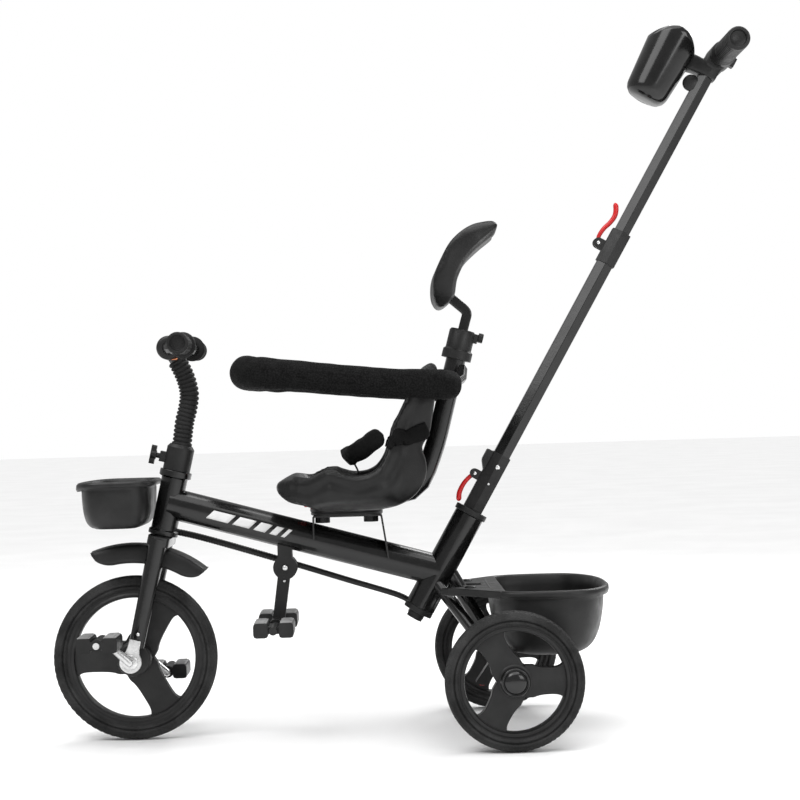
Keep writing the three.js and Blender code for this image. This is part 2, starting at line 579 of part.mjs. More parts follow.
// The rear basket's rim runs forward as a flat shelf that sits round the strut and stays.
function rearBasket() {
  const { x0, half, low, top } = REAR_BASKET;
  const body = basket(REAR_BASKET, low, top, BASKET_WALL, REAR_BASKET.lip, 0.2);
  const shelf = planCut(rounded([
    [468, -70, 26], [x0 + 4, -half + 8, 30], [x0 + 4, half - 8, 30], [468, 70, 26],
  ]), top - 9, top, 5);
  const slot = block(440, x0 - 46, -46, 46, top - 40, top + 20);
  const strutSlot = block(440, x0 - 13, -STRUT_RADIUS - 4, STRUT_RADIUS + 4, top - 40, top + 20);
  const inner = tub(grow(REAR_BASKET, -BASKET_WALL), low + BASKET_WALL, top + BASKET_WALL,
    V2((x0 + REAR_BASKET.x1) / 2, 0), 0.2);
  return cut(body.add(solid(shelf)), slot, strutSlot, inner);
}
piece('rear_basket', rearBasket(), PLASTIC);

// ---- brake --------------------------------------------------------------------------------
// A foot lever clipped round the middle of the axle beam; its red pad faces forward.
const BRAKE_Y = 30;
function brakeLever() {
  const x = WHEELBASE;
  const z = REAR.radius;
  const clip = rodY(x, z, BRAKE_Y, BRAKE_Y + 30, BEAM_RADIUS + 5, 24);
  const armShape = rounded([[x - 44, z - 36, 4], [x - 30, z - 40, 4], [x - 4, z - 10, 0], [x - 10,
    z + 12, 0]]);
  const arm = sideCut(armShape, BRAKE_Y + 4, BRAKE_Y + 26);
  return cut(join(clip, arm), rodY(x, z, BRAKE_Y - 1, BRAKE_Y + 31, BEAM_RADIUS + RUN, 24));
}
piece('brake_lever', brakeLever(), PLASTIC);

// ---- folding footrest ---------------------------------------------------------------------
const FOLD = { x: 233, z: 256 };
const FOLD_RADIUS = 18.5;
const CHEEK_IN = 9.5;
const CHEEK_OUT = 14;
const FOOT = { x: 217, z: 170 };
const mainRoom = rod(mainFront, mainRear, MAIN_RADIUS + GAP, 32);
function footBracket() {
  const top = mainPoint(FOLD.x).z - 8;
  const strap = rounded([[FOLD.x - 11, FOLD.z], [FOLD.x + 11, FOLD.z], [FOLD.x + 11, top],
    [FOLD.x - 11, top]]);
  const cheeks = SIDES.map(([, side]) => {
    const [y0, y1] = side < 0 ? [-CHEEK_OUT, -CHEEK_IN] : [CHEEK_IN, CHEEK_OUT];
    return join(sideCut(strap, y0, y1), rodY(FOLD.x, FOLD.z, y0, y1, FOLD_RADIUS, 28));
  });
  const bridge = block(FOLD.x - 11, FOLD.x + 11, -CHEEK_OUT, CHEEK_OUT, FOLD.z + FOLD_RADIUS + 1, top);
  const body = cheeks[0].add(cheeks[1]).add(solid(bridge));
  return cut(body, mainRoom, rodY(FOLD.x, FOLD.z, -20, 20, 4 + RUN, 12));
}
piece('footrest_bracket', footBracket(), PLASTIC);
function footArm() {
  const half = CHEEK_IN - GAP;
  const disc = rodY(FOLD.x, FOLD.z, -half, half, FOLD_RADIUS - 0.5, 28);
  const shank = rounded([
    [FOLD.x - 10, FOLD.z], [FOLD.x + 9, FOLD.z], [FOOT.x + 10, FOOT.z - 14, 4], [FOOT.x - 9,
      FOOT.z - 17, 4],
  ]);
  const bar = rodY(FOOT.x, FOOT.z, -108, 108, 6, 16);
  const boss = rodY(FOOT.x, FOOT.z, -34, 34, 10, 20);
  const treads = SIDES.map(([, side]) => pedal(1).translate([FOOT.x, side * (36 + PEDAL_LENGTH / 2),
    FOOT.z]));
  const body = join(disc, sideCut(shank, -half, half), boss).add(treads[0]).add(treads[1]).add(solid(bar));
  return body.add(solid(rodY(FOLD.x, FOLD.z, -CHEEK_OUT - 3, CHEEK_OUT + 3, 4, 12)));
}
piece('footrest_arm', footArm(), PLASTIC);

// ---- seat mounting ------------------------------------------------------------------------
const SEAT_X = 329.3; // the swivel axis
const BRACKET = { x0: 277, x1: 383, top: 334, sheet: 2.6, half: 30, rearFoot: 393 };
const KNOB_RADIUS = 11.5;
const KNOB_X = [292, 366];
const SWIVEL_RADIUS = 55;
const SWIVEL_LOW = BRACKET.top + GAP;
const SWIVEL_SPLIT = SWIVEL_LOW + 4.7;
const SWIVEL_TOP = 345;
const PIVOT_RADIUS = 12;

// Bent strap: a flat top with a leg down to the main tube at each end.
function seatBracket() {
  const { x0, x1, top, sheet, half, rearFoot } = BRACKET;
  const low = 262;
  const strap = rounded([
    [x0, low], [x0, top, 3], [x1, top, 3], [rearFoot, low], [rearFoot - sheet, low],
    [x1 - sheet, top - sheet, 2], [x0 + sheet, top - sheet, 2], [x0 + sheet, low],
  ]);
  const holes = KNOB_X.map((x) => rodZ(x, 0, top - 10, top + 5, 4 + 2 * RUN, 12));
  const below = block(x0 - 10, rearFoot + 10, -half - 1, half + 1, 0, 0.5);
  const keepAbove = rounded([
    [x0 - 20, mainPoint(x0 - 20).z], [rearFoot + 20, mainPoint(rearFoot + 20).z], [rearFoot + 20, 200],
      [x0 - 20, 200],
  ]);
  return cut(solid(sideCut(strap, -half, half, 3)), mainRoom, sideCut(keepAbove, -half - 1, half + 1),
    below, ...holes);
}
piece('seat_bracket', seatBracket(), FRAME_PAINT);
KNOB_X.forEach((x, i) => {
  const top = BRACKET.top - BRACKET.sheet - GAP;
  const disc = rodZ(x, 0, top - 9.2, top, KNOB_RADIUS, 20);
  const stud = rodZ(x, 0, top - 2, SWIVEL_SPLIT - 1.5, 4, 12);
  const flutes = [];
  for (let k = 0; k < 6; k += 1) {
    const angle = (k * Math.PI) / 3;
    const out = KNOB_RADIUS + 1.5;
    flutes.push(rodZ(x + out * Math.cos(angle), out * Math.sin(angle), top - 12, top + 1, 3, 6));
  }
  piece(`bracket_knob_${i ? 'rear' : 'front'}`, join(stud).add(cut(solid(disc), ...flutes)), PLASTIC);
});

const pivotRoom = rodZ(SEAT_X, 0, SWIVEL_LOW - 5, SWIVEL_TOP + 5, PIVOT_RADIUS + RUN, 24);
const studRooms = KNOB_X.map((x) => rodZ(x, 0, SWIVEL_LOW - 3, SWIVEL_SPLIT - 1.2, 4 + 2 * RUN, 12));
piece('swivel_base', cut(solid(rodZ(SEAT_X, 0, SWIVEL_LOW, SWIVEL_SPLIT, SWIVEL_RADIUS, 28)),
  pivotRoom, ...studRooms),
  PLASTIC);
const pivot = rodZ(SEAT_X, 0, SWIVEL_LOW + 0.5, SWIVEL_TOP - 1, PIVOT_RADIUS, 24);
piece('swivel_top', join(rodZ(SEAT_X, 0, SWIVEL_SPLIT + GAP, SWIVEL_TOP, SWIVEL_RADIUS + 1, 28),
  pivot), PLASTIC);
const RELEASE = { x0: 265, x1: 300, low: 347.2, high: 352, half: 14 };
piece('seat_release', block(RELEASE.x0, RELEASE.x1, -RELEASE.half, RELEASE.half, RELEASE.low,
  RELEASE.high), RED);

// ---- guard post, clamp and headrest -------------------------------------------------------
const POST_RADIUS = 15;
const POST_LEAN = THREE.MathUtils.degToRad(15.2);
const POST_FOOT = { x: 388, z: 362.5 };
const POST_KNEE = { x: 483, z: 492 };
const POST_TOP = 596; // height of the open top end
const postPoint = (z, p = 0) => V3(
  POST_KNEE.x + (z - POST_KNEE.z) * Math.tan(POST_LEAN) + p * Math.cos(POST_LEAN), 0,
    z - p * Math.sin(POST_LEAN));
const postRoute = [
  V3(POST_FOOT.x, 0, POST_FOOT.z), V3(412, 0, POST_FOOT.z), V3(431, 0, 368), V3(447, 0, 384), V3(456,
    0, 405),
  postPoint(440), postPoint(POST_KNEE.z), postPoint(545), postPoint(POST_TOP),
];
const BAR_BORE = 9 + RUN; // for the headrest bar, from the open end
function guardPost() {
  const bar = sweep(postRoute, POST_RADIUS, { sides: 12, steps: 14 });
  return cut(solid(bar), rod(postPoint(470), postPoint(POST_TOP + 10), BAR_BORE, 20));
}
piece('guard_post', guardPost(), FRAME_PAINT);
const postFrame = leaning(postPoint(570).x, 570, POST_LEAN);
const CLAMP = { low: -4, high: 42, radius: POST_RADIUS + 5 };
function postClamp() {
  const top = (POST_TOP - 570) / Math.cos(POST_LEAN) + 0.3 * POST_RADIUS;
  const body = turnedZ([
    [POST_RADIUS + GAP, CLAMP.low], [POST_RADIUS + GAP, top], [BAR_BORE, top + 1], [BAR_BORE, CLAMP.high],
    [CLAMP.radius - 2, CLAMP.high], [CLAMP.radius, CLAMP.high - 3], [CLAMP.radius, 12],
      [CLAMP.radius + 3, 9],
    [CLAMP.radius + 3, CLAMP.low],
  ]);
  const lug = block(CLAMP.radius - 3, CLAMP.radius + 5, -6, 6, 26, 40);
  return cut(join(body, lug), rod(V3(4, 0, 36), V3(40, 0, 36), 3 + 2 * RUN, 12));
}
piece('post_clamp', postClamp(), PLASTIC, postFrame);
const knobForm = join(
  rod(V3(BAR_BORE + 0.4, 0, 36), V3(CLAMP.radius + 8, 0, 36), 3, 12),
  rod(V3(CLAMP.radius + 5 + GAP, 0, 36), V3(CLAMP.radius + 13, 0, 36), 7.5, 10));
piece('post_knob', knobForm, PLASTIC, postFrame);

const HEAD_BAR = [postPoint(500), postPoint(560), postPoint(620), V3(520.5, 0, 633), V3(519, 0, 642),
  V3(500, 0, 660)];
piece('headrest_bar', sweep(HEAD_BAR, 9, { sides: 10, steps: 12 }), FRAME_PAINT);

// Headrest pad: a crescent in side view, narrowing towards its lower end.
function headrest() {
  const side = rounded([
    [481, 637, 8], [470, 652, 10], [469, 682, 14], [483, 712, 20], [499, 741, 16], [530, 765, 18],
      [568, 770, 8],
    [573, 760, 6], [548, 742, 10], [517, 716, 18], [501, 682, 20], [500, 654, 8],
  ]);
  const front = rounded([
    [-40, 632, 30], [40, 632, 30], [80, 680, 34], [88, 740, 30], [66, 775, 24], [-66, 775, 24], [-88,
      740, 30], [-80, 680, 34],
  ]);
  const options = { depth: 160, bevelEnabled: false, curveSegments: 5 };
  const outline = new THREE.ExtrudeGeometry(front,
    options).rotateX(Math.PI / 2).rotateZ(Math.PI / 2).translate(440, 0, 0);
  const body = solid(sideCut(side, -95, 95, 4)).intersect(solid(outline));
  return cut(body, sweep(HEAD_BAR, 9 + GAP + 0.5, { sides: 10, steps: 12 }));
}
piece('headrest', headrest(), LEATHER);

// ---- seat ---------------------------------------------------------------------------------
const SEAT_WALL = 22;
const SEAT_FLOOR = 374;
const SEAT_RISE = { from: 96, low: 340, to: 160, high: 370 };
// A wedge under each side of the seat, which clears the main tube as the seat turns.
function seatRise(side) {
  const { from, low, to, high } = SEAT_RISE;
  const end = [[side * from, low], [side * to, low], [side * to, high], [side * from, low + 6]];
  const shape = rounded(side > 0 ? end : [...end].reverse());
  const options = { depth: 300, bevelEnabled: false };
  const wedge = new THREE.ExtrudeGeometry(shape, options);
  return solid(wedge.rotateX(Math.PI / 2).rotateZ(Math.PI / 2).translate(200, 0, 0));
}
function seatShell() {
  const side = rounded([
    [220, 380, 8], [226, 393, 8], [250, 397, 8], [271, 392, 6], [303, 410, 14], [348, 395, 16], [379,
      404, 16],
    [393, 437, 14], [402, 470, 10], [420, 508, 14], [442, 552, 12], [464, 567, 8], [472, 558, 6], [466,
      520, 10],
    [455, 455, 8], [440, 436, 6], [449, 416, 10], [450, 392, 14], [434, 362, 18], [404, 349, 12],
    [379, 346, 4], [290, 346, 4], [272, 355, 6], [238, 361, 10],
  ]);
  const plan = rounded([
    [214, -52, 24], [258, -112, 30], [303, -140, 30], [390, -138, 30], [412, -104, 20], [442, -88, 20],
      [480, -78, 6],
    [480, 78, 6], [442, 88, 20], [412, 104, 20], [390, 138, 30], [303, 140, 30], [258, 112, 30], [214,
      52, 24],
  ]);
  const hollow = rounded([
    [262, 420, 0], [262, 384, 6], [300, SEAT_FLOOR, 12], [398, SEAT_FLOOR, 22], [424, 410, 20], [438,
      470, 10],
    [456, 580, 0], [262, 580, 0],
  ]);
  const body = solid(sideCut(side, -150, 150, 2)).intersect(solid(planCut(plan, 330, 600, 2)));
  const well = solid(sideCut(hollow, -118, 118, 2)).intersect(solid(planCut(rounded([
    [250, -70, 20], [300, -140 + SEAT_WALL, 24], [392, -138 + SEAT_WALL, 30], [412, -86, 20], [470,
      -66, 10],
    [470, 66, 10], [412, 86, 20], [392, 138 - SEAT_WALL, 30], [300, 140 - SEAT_WALL, 24], [250, 70, 20],
  ]), 330, 600, 2)));
  const tray = block(RELEASE.x0 - 60, RELEASE.x1 + 1, -RELEASE.half - 1, RELEASE.half + 1, 330,
    RELEASE.high + 0.6);
  const postRoom = sweep([V3(POST_FOOT.x - 2, 0, POST_FOOT.z), ...postRoute.slice(1)],
    POST_RADIUS + 2.5, { sides: 12, steps: 14 });
  const below = block(200, 500, -160, 160, 320, SWIVEL_TOP + GAP + 0.7);
  const hollowed = cut(body.subtract(well), postRoom, below, tray);
  return hollowed.subtract(seatRise(-1)).subtract(seatRise(1));
}
piece('seat_shell', seatShell(), LEATHER);

// Harness: a padded lap belt that arches across the seat.
const LAP = [
  V3(384, -106, 450), V3(370, -101, 444), V3(350, -78, 430), V3(338, -40, 421), V3(335, 0, 419),
  V3(338, 40, 421), V3(350, 78, 430), V3(370, 101, 444), V3(384, 106, 450),
];
piece('lap_belt', sweep(LAP, 19, { sides: 8, steps: 16, flatten: 0.3 }), FABRIC);

// ---- guard ring ---------------------------------------------------------------------------
const GUARD_TUBE = 8;
const GUARD_PAD = 21;
const guardHalf = [
  V3(511, -27, 551), V3(507, -60, 534), V3(490, -96, 527), V3(452, -116, 528), V3(400, -122, 531),
  V3(330, -125, 538), V3(262, -122, 546), V3(214, -104, 551), V3(188, -62, 554),
];
const mirrored = (points) => points.map((p) => V3(p.x, -p.y, p.z)).reverse();
const guardRoute = [...guardHalf, V3(181, 0, 555), ...mirrored(guardHalf)];
piece('guard_tube', sweep(guardRoute, GUARD_TUBE, { sides: 6, steps: 28 }), FRAME_PAINT);
const padRoute = [...guardHalf.slice(1), V3(181, 0, 555), ...mirrored(guardHalf.slice(1))];
piece('guard_pad', cut(solid(sweep(padRoute, GUARD_PAD, { sides: 10, steps: 28 })),
  sweep(guardRoute, GUARD_TUBE + 2, { sides: 6, steps: 28 })), FABRIC);

// ---- push handle --------------------------------------------------------------------------
// In the handle's own group +Z runs up its axis and +X points away from the child.
const SLEEVE_TOP = 104;
const MID_TOP = 436;
const CLAMP_TOP = 491;
const BAR_T = 800; // the push bar's place along the axis and behind it
const BAR_P = 6;
const MID_HALF = 12.75; // half width of each tube, between its front and rear flats
const UPPER_HALF = 11.6;
const SLEEVE_WALL = 1.8;
const LEVER_THICK = 6;

// A six-sided bar with a ridge towards each side, half its width given flat to flat.
function hexBar(half, z0, z1) {
  const radius = half / Math.cos(Math.PI / 6);
  const geometry = new THREE.CylinderGeometry(radius, radius, z1 - z0, 6);
  return geometry.rotateX(Math.PI / 2).translate(0, 0, (z0 + z1) / 2);
}

// An ear in front of the tube at height t, slotted for a lever, with its pin hole.
function leverEar(body, t, p, radius) {
  const half = LEVER_THICK / 2 + 4;
  const ear = rodY(p, t, -half, half, radius, 20);
  const root = block(p, -MID_HALF - 0.5, -half, half, t - radius, t + radius);
  const slot = LEVER_THICK / 2 + RUN;
  const room = block(p - radius - 1, -MID_HALF - 1.2, -slot, slot, t - radius - 20, t + radius + 20);
  return cut(body.add(solid(ear)).add(solid(root)), room, rodY(p, t, -half - 1, half + 1, 2 + RUN, 12));
}

// Insert that turns in the socket, its steering arm below, and the sleeve above.
function lowerSleeve() {
  const insert = rodZ(0, 0, capLow - ARM_THICK - 5, SOCKET_COLLAR_HEIGHT + 6, INSERT_RADIUS, 24);
  const low = SOCKET_COLLAR_HEIGHT + GAP;
  const half = MID_HALF + GAP + SLEEVE_WALL;
  const sleeve = hexBar(half, low, SLEEVE_TOP);
  const armTop = capLow - 1;
  const arm = planCut(rounded([
    [-13, -13, 10], [13, -13, 10], [11, CRANK_REACH + 12, 10], [-11, CRANK_REACH + 12, 10],
  ]), armTop - ARM_THICK, armTop, 4);
  const eye = rodZ(0, CRANK_REACH, armTop - ARM_THICK - 1, armTop + 1, ROD_EYE, 16);
  const housing = sideCut(rounded([
    [-half + 1, 70], [-24, 84, 4], [-24, 103, 2], [-half + 1, 103],
  ]), -11, 11, 3);
  const body = join(insert, sleeve, arm, housing);
  const eared = leverEar(body, LOWER_LEVER.t, LOWER_LEVER.p, 7.5);
  return cut(eared, hexBar(MID_HALF + GAP, low + 20, SLEEVE_TOP + 1), eye);
}

// A quick-release lever around its pivot: a boss, then a curved grip towards its tip.
function lever(route, t, p, bossRadius) {
  const half = LEVER_THICK / 2;
  const boss = rodY(p, t, -half, half, bossRadius, 16);
  const back = [...route].reverse().map(([x, z]) => V2(x + 4.2, z));
  const outline = new THREE.Shape([...new THREE.SplineCurve(route.map(([x, z]) => V2(x, z))).getPoints(10),
    ...new THREE.SplineCurve(back).getPoints(10)]);
  outline.closePath();
  const grip = sideCut(outline, -half, half);
  const pin = rodY(p, t, -half - 3.5, half + 3.5, 2, 12);
  return join(boss, grip, pin);
}
const LOWER_LEVER = { t: 60, p: -23 };
const UPPER_LEVER = { t: 460, p: -24 };
piece('handle_sleeve', lowerSleeve(), PLASTIC, handle);
const lowerRoute = [[-25.5, 60], [-30, 48], [-30.5, 36], [-29, 22], [-24, 12]];
piece('lower_lever', lever(lowerRoute, LOWER_LEVER.t, LOWER_LEVER.p, 5), RED, handle);
const midLow = SOCKET_COLLAR_HEIGHT + GAP + 20 + GAP;
piece('handle_mid_tube', cut(solid(hexBar(MID_HALF, midLow, MID_TOP + 30)),
  hexBar(UPPER_HALF + GAP, midLow - 1, MID_TOP + 31)), FRAME_PAINT, handle);

// Upper clamp: a sleeve over the joint of the two tubes, with the upper lever's ear.
function upperClamp() {
  const half = MID_HALF + GAP + SLEEVE_WALL;
  const body = leverEar(solid(hexBar(half, MID_TOP, CLAMP_TOP)), UPPER_LEVER.t, UPPER_LEVER.p, 8);
  return cut(body, hexBar(MID_HALF + GAP, MID_TOP - 1, MID_TOP + 30.5), hexBar(UPPER_HALF + GAP,
    MID_TOP, CLAMP_TOP + 1));
}
piece('upper_clamp', upperClamp(), PLASTIC, handle);
const upperRoute = [[-27, 459], [-27.5, 476], [-24.5, 488], [-20, 500], [-20, 512], [-29, 526]];
piece('upper_lever', lever(upperRoute, UPPER_LEVER.t, UPPER_LEVER.p, 5), RED, handle);

const BAR_TUBE = 17.5;
const BAR_REACH = 137.5;
const BAR_HOUSING = 19;
const upperLow = MID_TOP - 170;
const barRoomAcross = rodY(BAR_P, BAR_T, -40, 40, BAR_HOUSING + GAP, 24);
piece('handle_upper_tube', cut(solid(hexBar(UPPER_HALF, upperLow, BAR_T + 4)), barRoomAcross),
  FRAME_PAINT, handle);

// Push bar: a housing on the tube's end and a grip to each side, recessed at the ends.
function pushBar() {
  const grip = rodY(BAR_P, BAR_T, -BAR_REACH, BAR_REACH, BAR_TUBE, 24);
  const housing = rodY(BAR_P, BAR_T, -28, 28, BAR_HOUSING, 24);
  const ends = SIDES.map(([, side]) =>
    rodY(BAR_P, BAR_T, side * (BAR_REACH - 6), side * (BAR_REACH + 1), BAR_TUBE - 6, 20));
  const well = block(BAR_P + BAR_HOUSING - 8, BAR_P + BAR_HOUSING + 3, -8, 8, BAR_T - 8, BAR_T + 8);
  return cut(join(grip, housing), ...ends, well);
}
piece('push_bar', pushBar(), PLASTIC, handle);
const buttonIn = BAR_P + BAR_HOUSING - 8 + 4;
piece('bar_button', block(buttonIn, BAR_P + BAR_HOUSING + 5, -7.5, 7.5, BAR_T - 7.5, BAR_T + 7.5),
  PLASTIC, handle);

// Cup holder: a tapered cup along the tube, cut level at the front and sloped to its bracket.
const CUP = { p: -68, low: 699, lowRadius: 33, topRadius: 41, high: 835, wall: 3.5, rim: 1059 };
function cupHolder() {
  const { p, low, lowRadius, topRadius, high, wall } = CUP;
  const outer = rod(V3(p + 4, 0, low), V3(p, 0, high), lowRadius, 32, topRadius);
  const inner = rod(V3(p + 4, 0, low + wall), V3(p, 0, high + 1), lowRadius - wall, 32, topRadius - wall);
  const strap = block(p + 20, -UPPER_HALF - GAP, -16, 16, 742, 778);
  const body = cut(join(outer, strap), inner);
  const level = new THREE.BoxGeometry(400, 200, 200).rotateY(-HANDLE_LEAN);
  const height = (CUP.rim - SOCKET_TOP.z) / Math.cos(HANDLE_LEAN);
  level.translate(100 * Math.sin(-HANDLE_LEAN), 0, height + 100 * Math.cos(HANDLE_LEAN));
  const slope = block(-30, 200, -100, 100, 790, 1000);
  return cut(body, level, slope, barRoomAcross);
}
piece('cup_holder', cupHolder(), PLASTIC, handle);

// ---- steering rod -------------------------------------------------------------------------
// It joins the crown's eye to the arm under the socket, beside the middle plane.
function steeringRod() {
  const front = axisPoint(CROWN_TOP + 6);
  const rear = handlePoint(capLow + 5);
  const route = [
    front, V3(front.x + 14, 0, front.z - 3), V3(100, 0, 304), V3(165, 0, 284), V3(255, 0, 255), V3(330,
      0, 230),
    V3(400, 0, 207), V3(rear.x - 12, 0, rear.z + 9), rear,
  ].map((p) => p.clone().setY(CRANK_REACH));
  const pins = [
    rod(route[0], axisPoint(CROWN_LOW + 6).setY(CRANK_REACH), ROD_PIN, 12),
    rod(rear.clone().setY(CRANK_REACH), handlePoint(capLow - ARM_THICK - 4).setY(CRANK_REACH), ROD_PIN, 12),
  ];
  const ends = [route[0], route[route.length - 1]].map((p) => ball(p, ROD_RADIUS, 8));
  return join(sweep(route, ROD_RADIUS, { sides: 8, steps: 18 }), ...pins, ...ends);
}
piece('steering_rod', steeringRod(), FRAME_PAINT);

// ---- origin -------------------------------------------------------------------------------
// The part stands on its wheels with its origin under the middle of its length.
const span = new THREE.Box3().setFromObject(tricycle, true);
const model = new THREE.Group();
tricycle.position.x = -(span.min.x + span.max.x) / 2;
model.add(tricycle);
export default model;
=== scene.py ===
import json
import math

import bmesh
import bpy
from mathutils import Matrix, Vector, noise
from mathutils.bvhtree import BVHTree


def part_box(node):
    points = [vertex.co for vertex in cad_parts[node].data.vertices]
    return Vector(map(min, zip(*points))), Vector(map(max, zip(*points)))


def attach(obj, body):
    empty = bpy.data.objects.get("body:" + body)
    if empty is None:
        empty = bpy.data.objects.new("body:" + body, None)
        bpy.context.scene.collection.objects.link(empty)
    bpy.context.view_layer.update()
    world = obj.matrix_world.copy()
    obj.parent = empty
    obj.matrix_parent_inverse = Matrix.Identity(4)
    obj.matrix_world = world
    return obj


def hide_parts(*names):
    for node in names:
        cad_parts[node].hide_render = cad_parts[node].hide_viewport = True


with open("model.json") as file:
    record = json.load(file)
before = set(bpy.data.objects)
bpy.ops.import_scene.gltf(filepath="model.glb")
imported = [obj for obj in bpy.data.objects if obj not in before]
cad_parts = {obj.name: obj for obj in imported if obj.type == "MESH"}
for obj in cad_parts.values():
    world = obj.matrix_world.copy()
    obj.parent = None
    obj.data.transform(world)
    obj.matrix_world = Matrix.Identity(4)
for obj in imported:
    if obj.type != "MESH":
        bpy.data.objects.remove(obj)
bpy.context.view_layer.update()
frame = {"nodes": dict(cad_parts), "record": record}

SHIFT = 410.77  # millimetres from the front axle back to the middle of the frame


def W(x, z, y=0.0):
    """A design point, millimetres behind the front axle and above the ground, in the row frame."""
    return Vector(((x - SHIFT) / 1000, y / 1000, z / 1000))


# ---- camera, lights and floor --------------------------------------------------------------
def make_camera():
    data = bpy.data.cameras.new("camera")
    data.lens = 80.8
    data.sensor_width = 36
    data.shift_x = 0.035
    data.shift_y = 0.025
    data.clip_end = 30
    camera = bpy.data.objects.new("camera", data)
    bpy.context.scene.collection.objects.link(camera)
    place = Matrix.Translation((-0.0388, -2.75, 0.477))
    tilt = Matrix.Rotation(math.radians(90), 4, "X")
    roll = Matrix.Rotation(math.radians(-1.7), 4, "Z")
    camera.matrix_world = place @ tilt @ roll
    bpy.context.scene.camera = camera


def area_light(name, spot, target, size, power):
    data = bpy.data.lights.new(name, "AREA")
    data.shape = "RECTANGLE"
    data.size, data.size_y = size
    data.energy = power
    light = bpy.data.objects.new(name, data)
    bpy.context.scene.collection.objects.link(light)
    light.location = spot
    light.rotation_euler = (Vector(target) - Vector(spot)).to_track_quat("-Z", "Y").to_euler()


def make_stage():
    world = bpy.data.worlds.new("studio")
    world.use_nodes = True
    tree = world.node_tree
    background = tree.nodes["Background"]
    background.inputs["Color"].default_value = (1.0, 1.0, 1.0, 1)
    seen = tree.nodes.new("ShaderNodeLightPath").outputs["Is Camera Ray"]
    level = tree.nodes.new("ShaderNodeMapRange")
    level.inputs["To Min"].default_value = 0.42
    level.inputs["To Max"].default_value = 1.0
    tree.links.new(seen, level.inputs["Value"])
    tree.links.new(level.outputs["Result"], background.inputs["Strength"])
    bpy.context.scene.view_settings.view_transform = "Standard"
    bpy.context.scene.world = world
    area_light("key", (-1.5, -1.6, 2.6), (0, 0, 0.4), (1.6, 1.6), 26)
    area_light("fill", (1.9, -2.4, 1.3), (0, 0, 0.5), (1.6, 1.2), 22)
    area_light("top", (0.1, 0.3, 2.6), (0, 0, 0.4), (2.6, 0.9), 16)
    sun = bpy.data.lights.new("sky_panel", "SUN")
    sun.energy = 2.1
    sun.angle = math.radians(70)
    panel = bpy.data.objects.new("sky_panel", sun)
    bpy.context.scene.collection.objects.link(panel)
    panel.rotation_euler = (math.radians(14), math.radians(-8), 0)
    area_light("rim", (1.4, 1.8, 1.9), (0, 0, 0.6), (1.6, 1.0), 30)
    mesh = bpy.data.meshes.new("floor")
    bm = bmesh.new()
    bmesh.ops.create_grid(bm, x_segments=8, y_segments=8, size=30)
    bm.to_mesh(mesh)
    bm.free()
    floor = bpy.data.objects.new("floor", mesh)
    bpy.context.scene.collection.objects.link(floor)
    floor.location.z = -0.0005
    floor.data.materials.append(MATERIALS["floor"])


# ---- materials -----------------------------------------------------------------------------
class Shader:
    """Builds one material's node tree from a few kinds of layer."""

    def __init__(self, name):
        self.material = bpy.data.materials.new(name)
        self.material.use_nodes = True
        self.nodes = self.material.node_tree.nodes
        self.links = self.material.node_tree.links
        self.out = self.nodes["Principled BSDF"]
        self.place = self.nodes.new("ShaderNodeTexCoord").outputs["Object"]
        self.height = None

    def set(self, **values):
        for name, value in values.items():
            self.out.inputs[name.replace("_", " ")].default_value = value
        return self

    def stretch(self, scale):
        node = self.nodes.new("ShaderNodeMapping")
        node.inputs["Scale"].default_value = scale
        self.links.new(self.place, node.inputs["Vector"])
        return node.outputs["Vector"]

    def noise(self, scale, detail=3, stretch=None):
        node = self.nodes.new("ShaderNodeTexNoise")
        node.inputs["Scale"].default_value = scale
        node.inputs["Detail"].default_value = detail
        self.links.new(self.stretch(stretch) if stretch else self.place, node.inputs["Vector"])
        return node.outputs["Fac"]

    def cells(self, scale, feature="F1", stretch=None, jitter=1.0):
        node = self.nodes.new("ShaderNodeTexVoronoi")
        node.feature = feature
        node.inputs["Scale"].default_value = scale
        node.inputs["Randomness"].default_value = jitter
        self.links.new(self.stretch(stretch) if stretch else self.place, node.inputs["Vector"])
        return node.outputs["Distance"]

    def wave(self, scale, axis, distort=0.0):
        node = self.nodes.new("ShaderNodeTexWave")
        node.bands_direction = axis
        node.inputs["Scale"].default_value = scale
        node.inputs["Distortion"].default_value = distort
        self.links.new(self.place, node.inputs["Vector"])
        return node.outputs["Fac"]

    def ramp(self, value, low, high, stops=(0.35, 0.65)):
        node = self.nodes.new("ShaderNodeValToRGB")
        node.color_ramp.elements[0].position = stops[0]
        node.color_ramp.elements[1].position = stops[1]
        node.color_ramp.elements[0].color = (*low, 1)
        node.color_ramp.elements[1].color = (*high, 1)
        self.links.new(value, node.inputs["Fac"])
        return node.outputs["Color"]

    def remap(self, value, low, high, start=0.3, end=0.7):
        node = self.nodes.new("ShaderNodeMapRange")
        for name, number in zip(("From Min", "From Max", "To Min", "To Max"), (start, end, low, high)):
            node.inputs[name].default_value = number
        self.links.new(value, node.inputs["Value"])
        return node.outputs["Result"]

    def math(self, kind, first, second):
        node = self.nodes.new("ShaderNodeMath")
        node.operation = kind
        for socket, value in zip(node.inputs, (first, second)):
            if isinstance(value, (int, float)):
                socket.default_value = value
            else:
                self.links.new(value, socket)
        return node.outputs[0]

    def colour(self, socket):
        self.links.new(socket, self.out.inputs["Base Color"])
        return self

    def rough(self, socket):
        self.links.new(socket, self.out.inputs["Roughness"])
        return self

    def bump(self, value, depth, strength=1.0):
        node = self.nodes.new("ShaderNodeBump")
        node.inputs["Distance"].default_value = depth
        node.inputs["Strength"].default_value = strength
        self.links.new(value, node.inputs["Height"])
        if self.height is not None:
            self.links.new(self.height, node.inputs["Normal"])
        self.height = node.outputs["Normal"]
        self.links.new(self.height, self.out.inputs["Normal"])
        return self


def grey(value, warm=0.0):
    return (value * (1 + warm), value, value * (1 - warm))


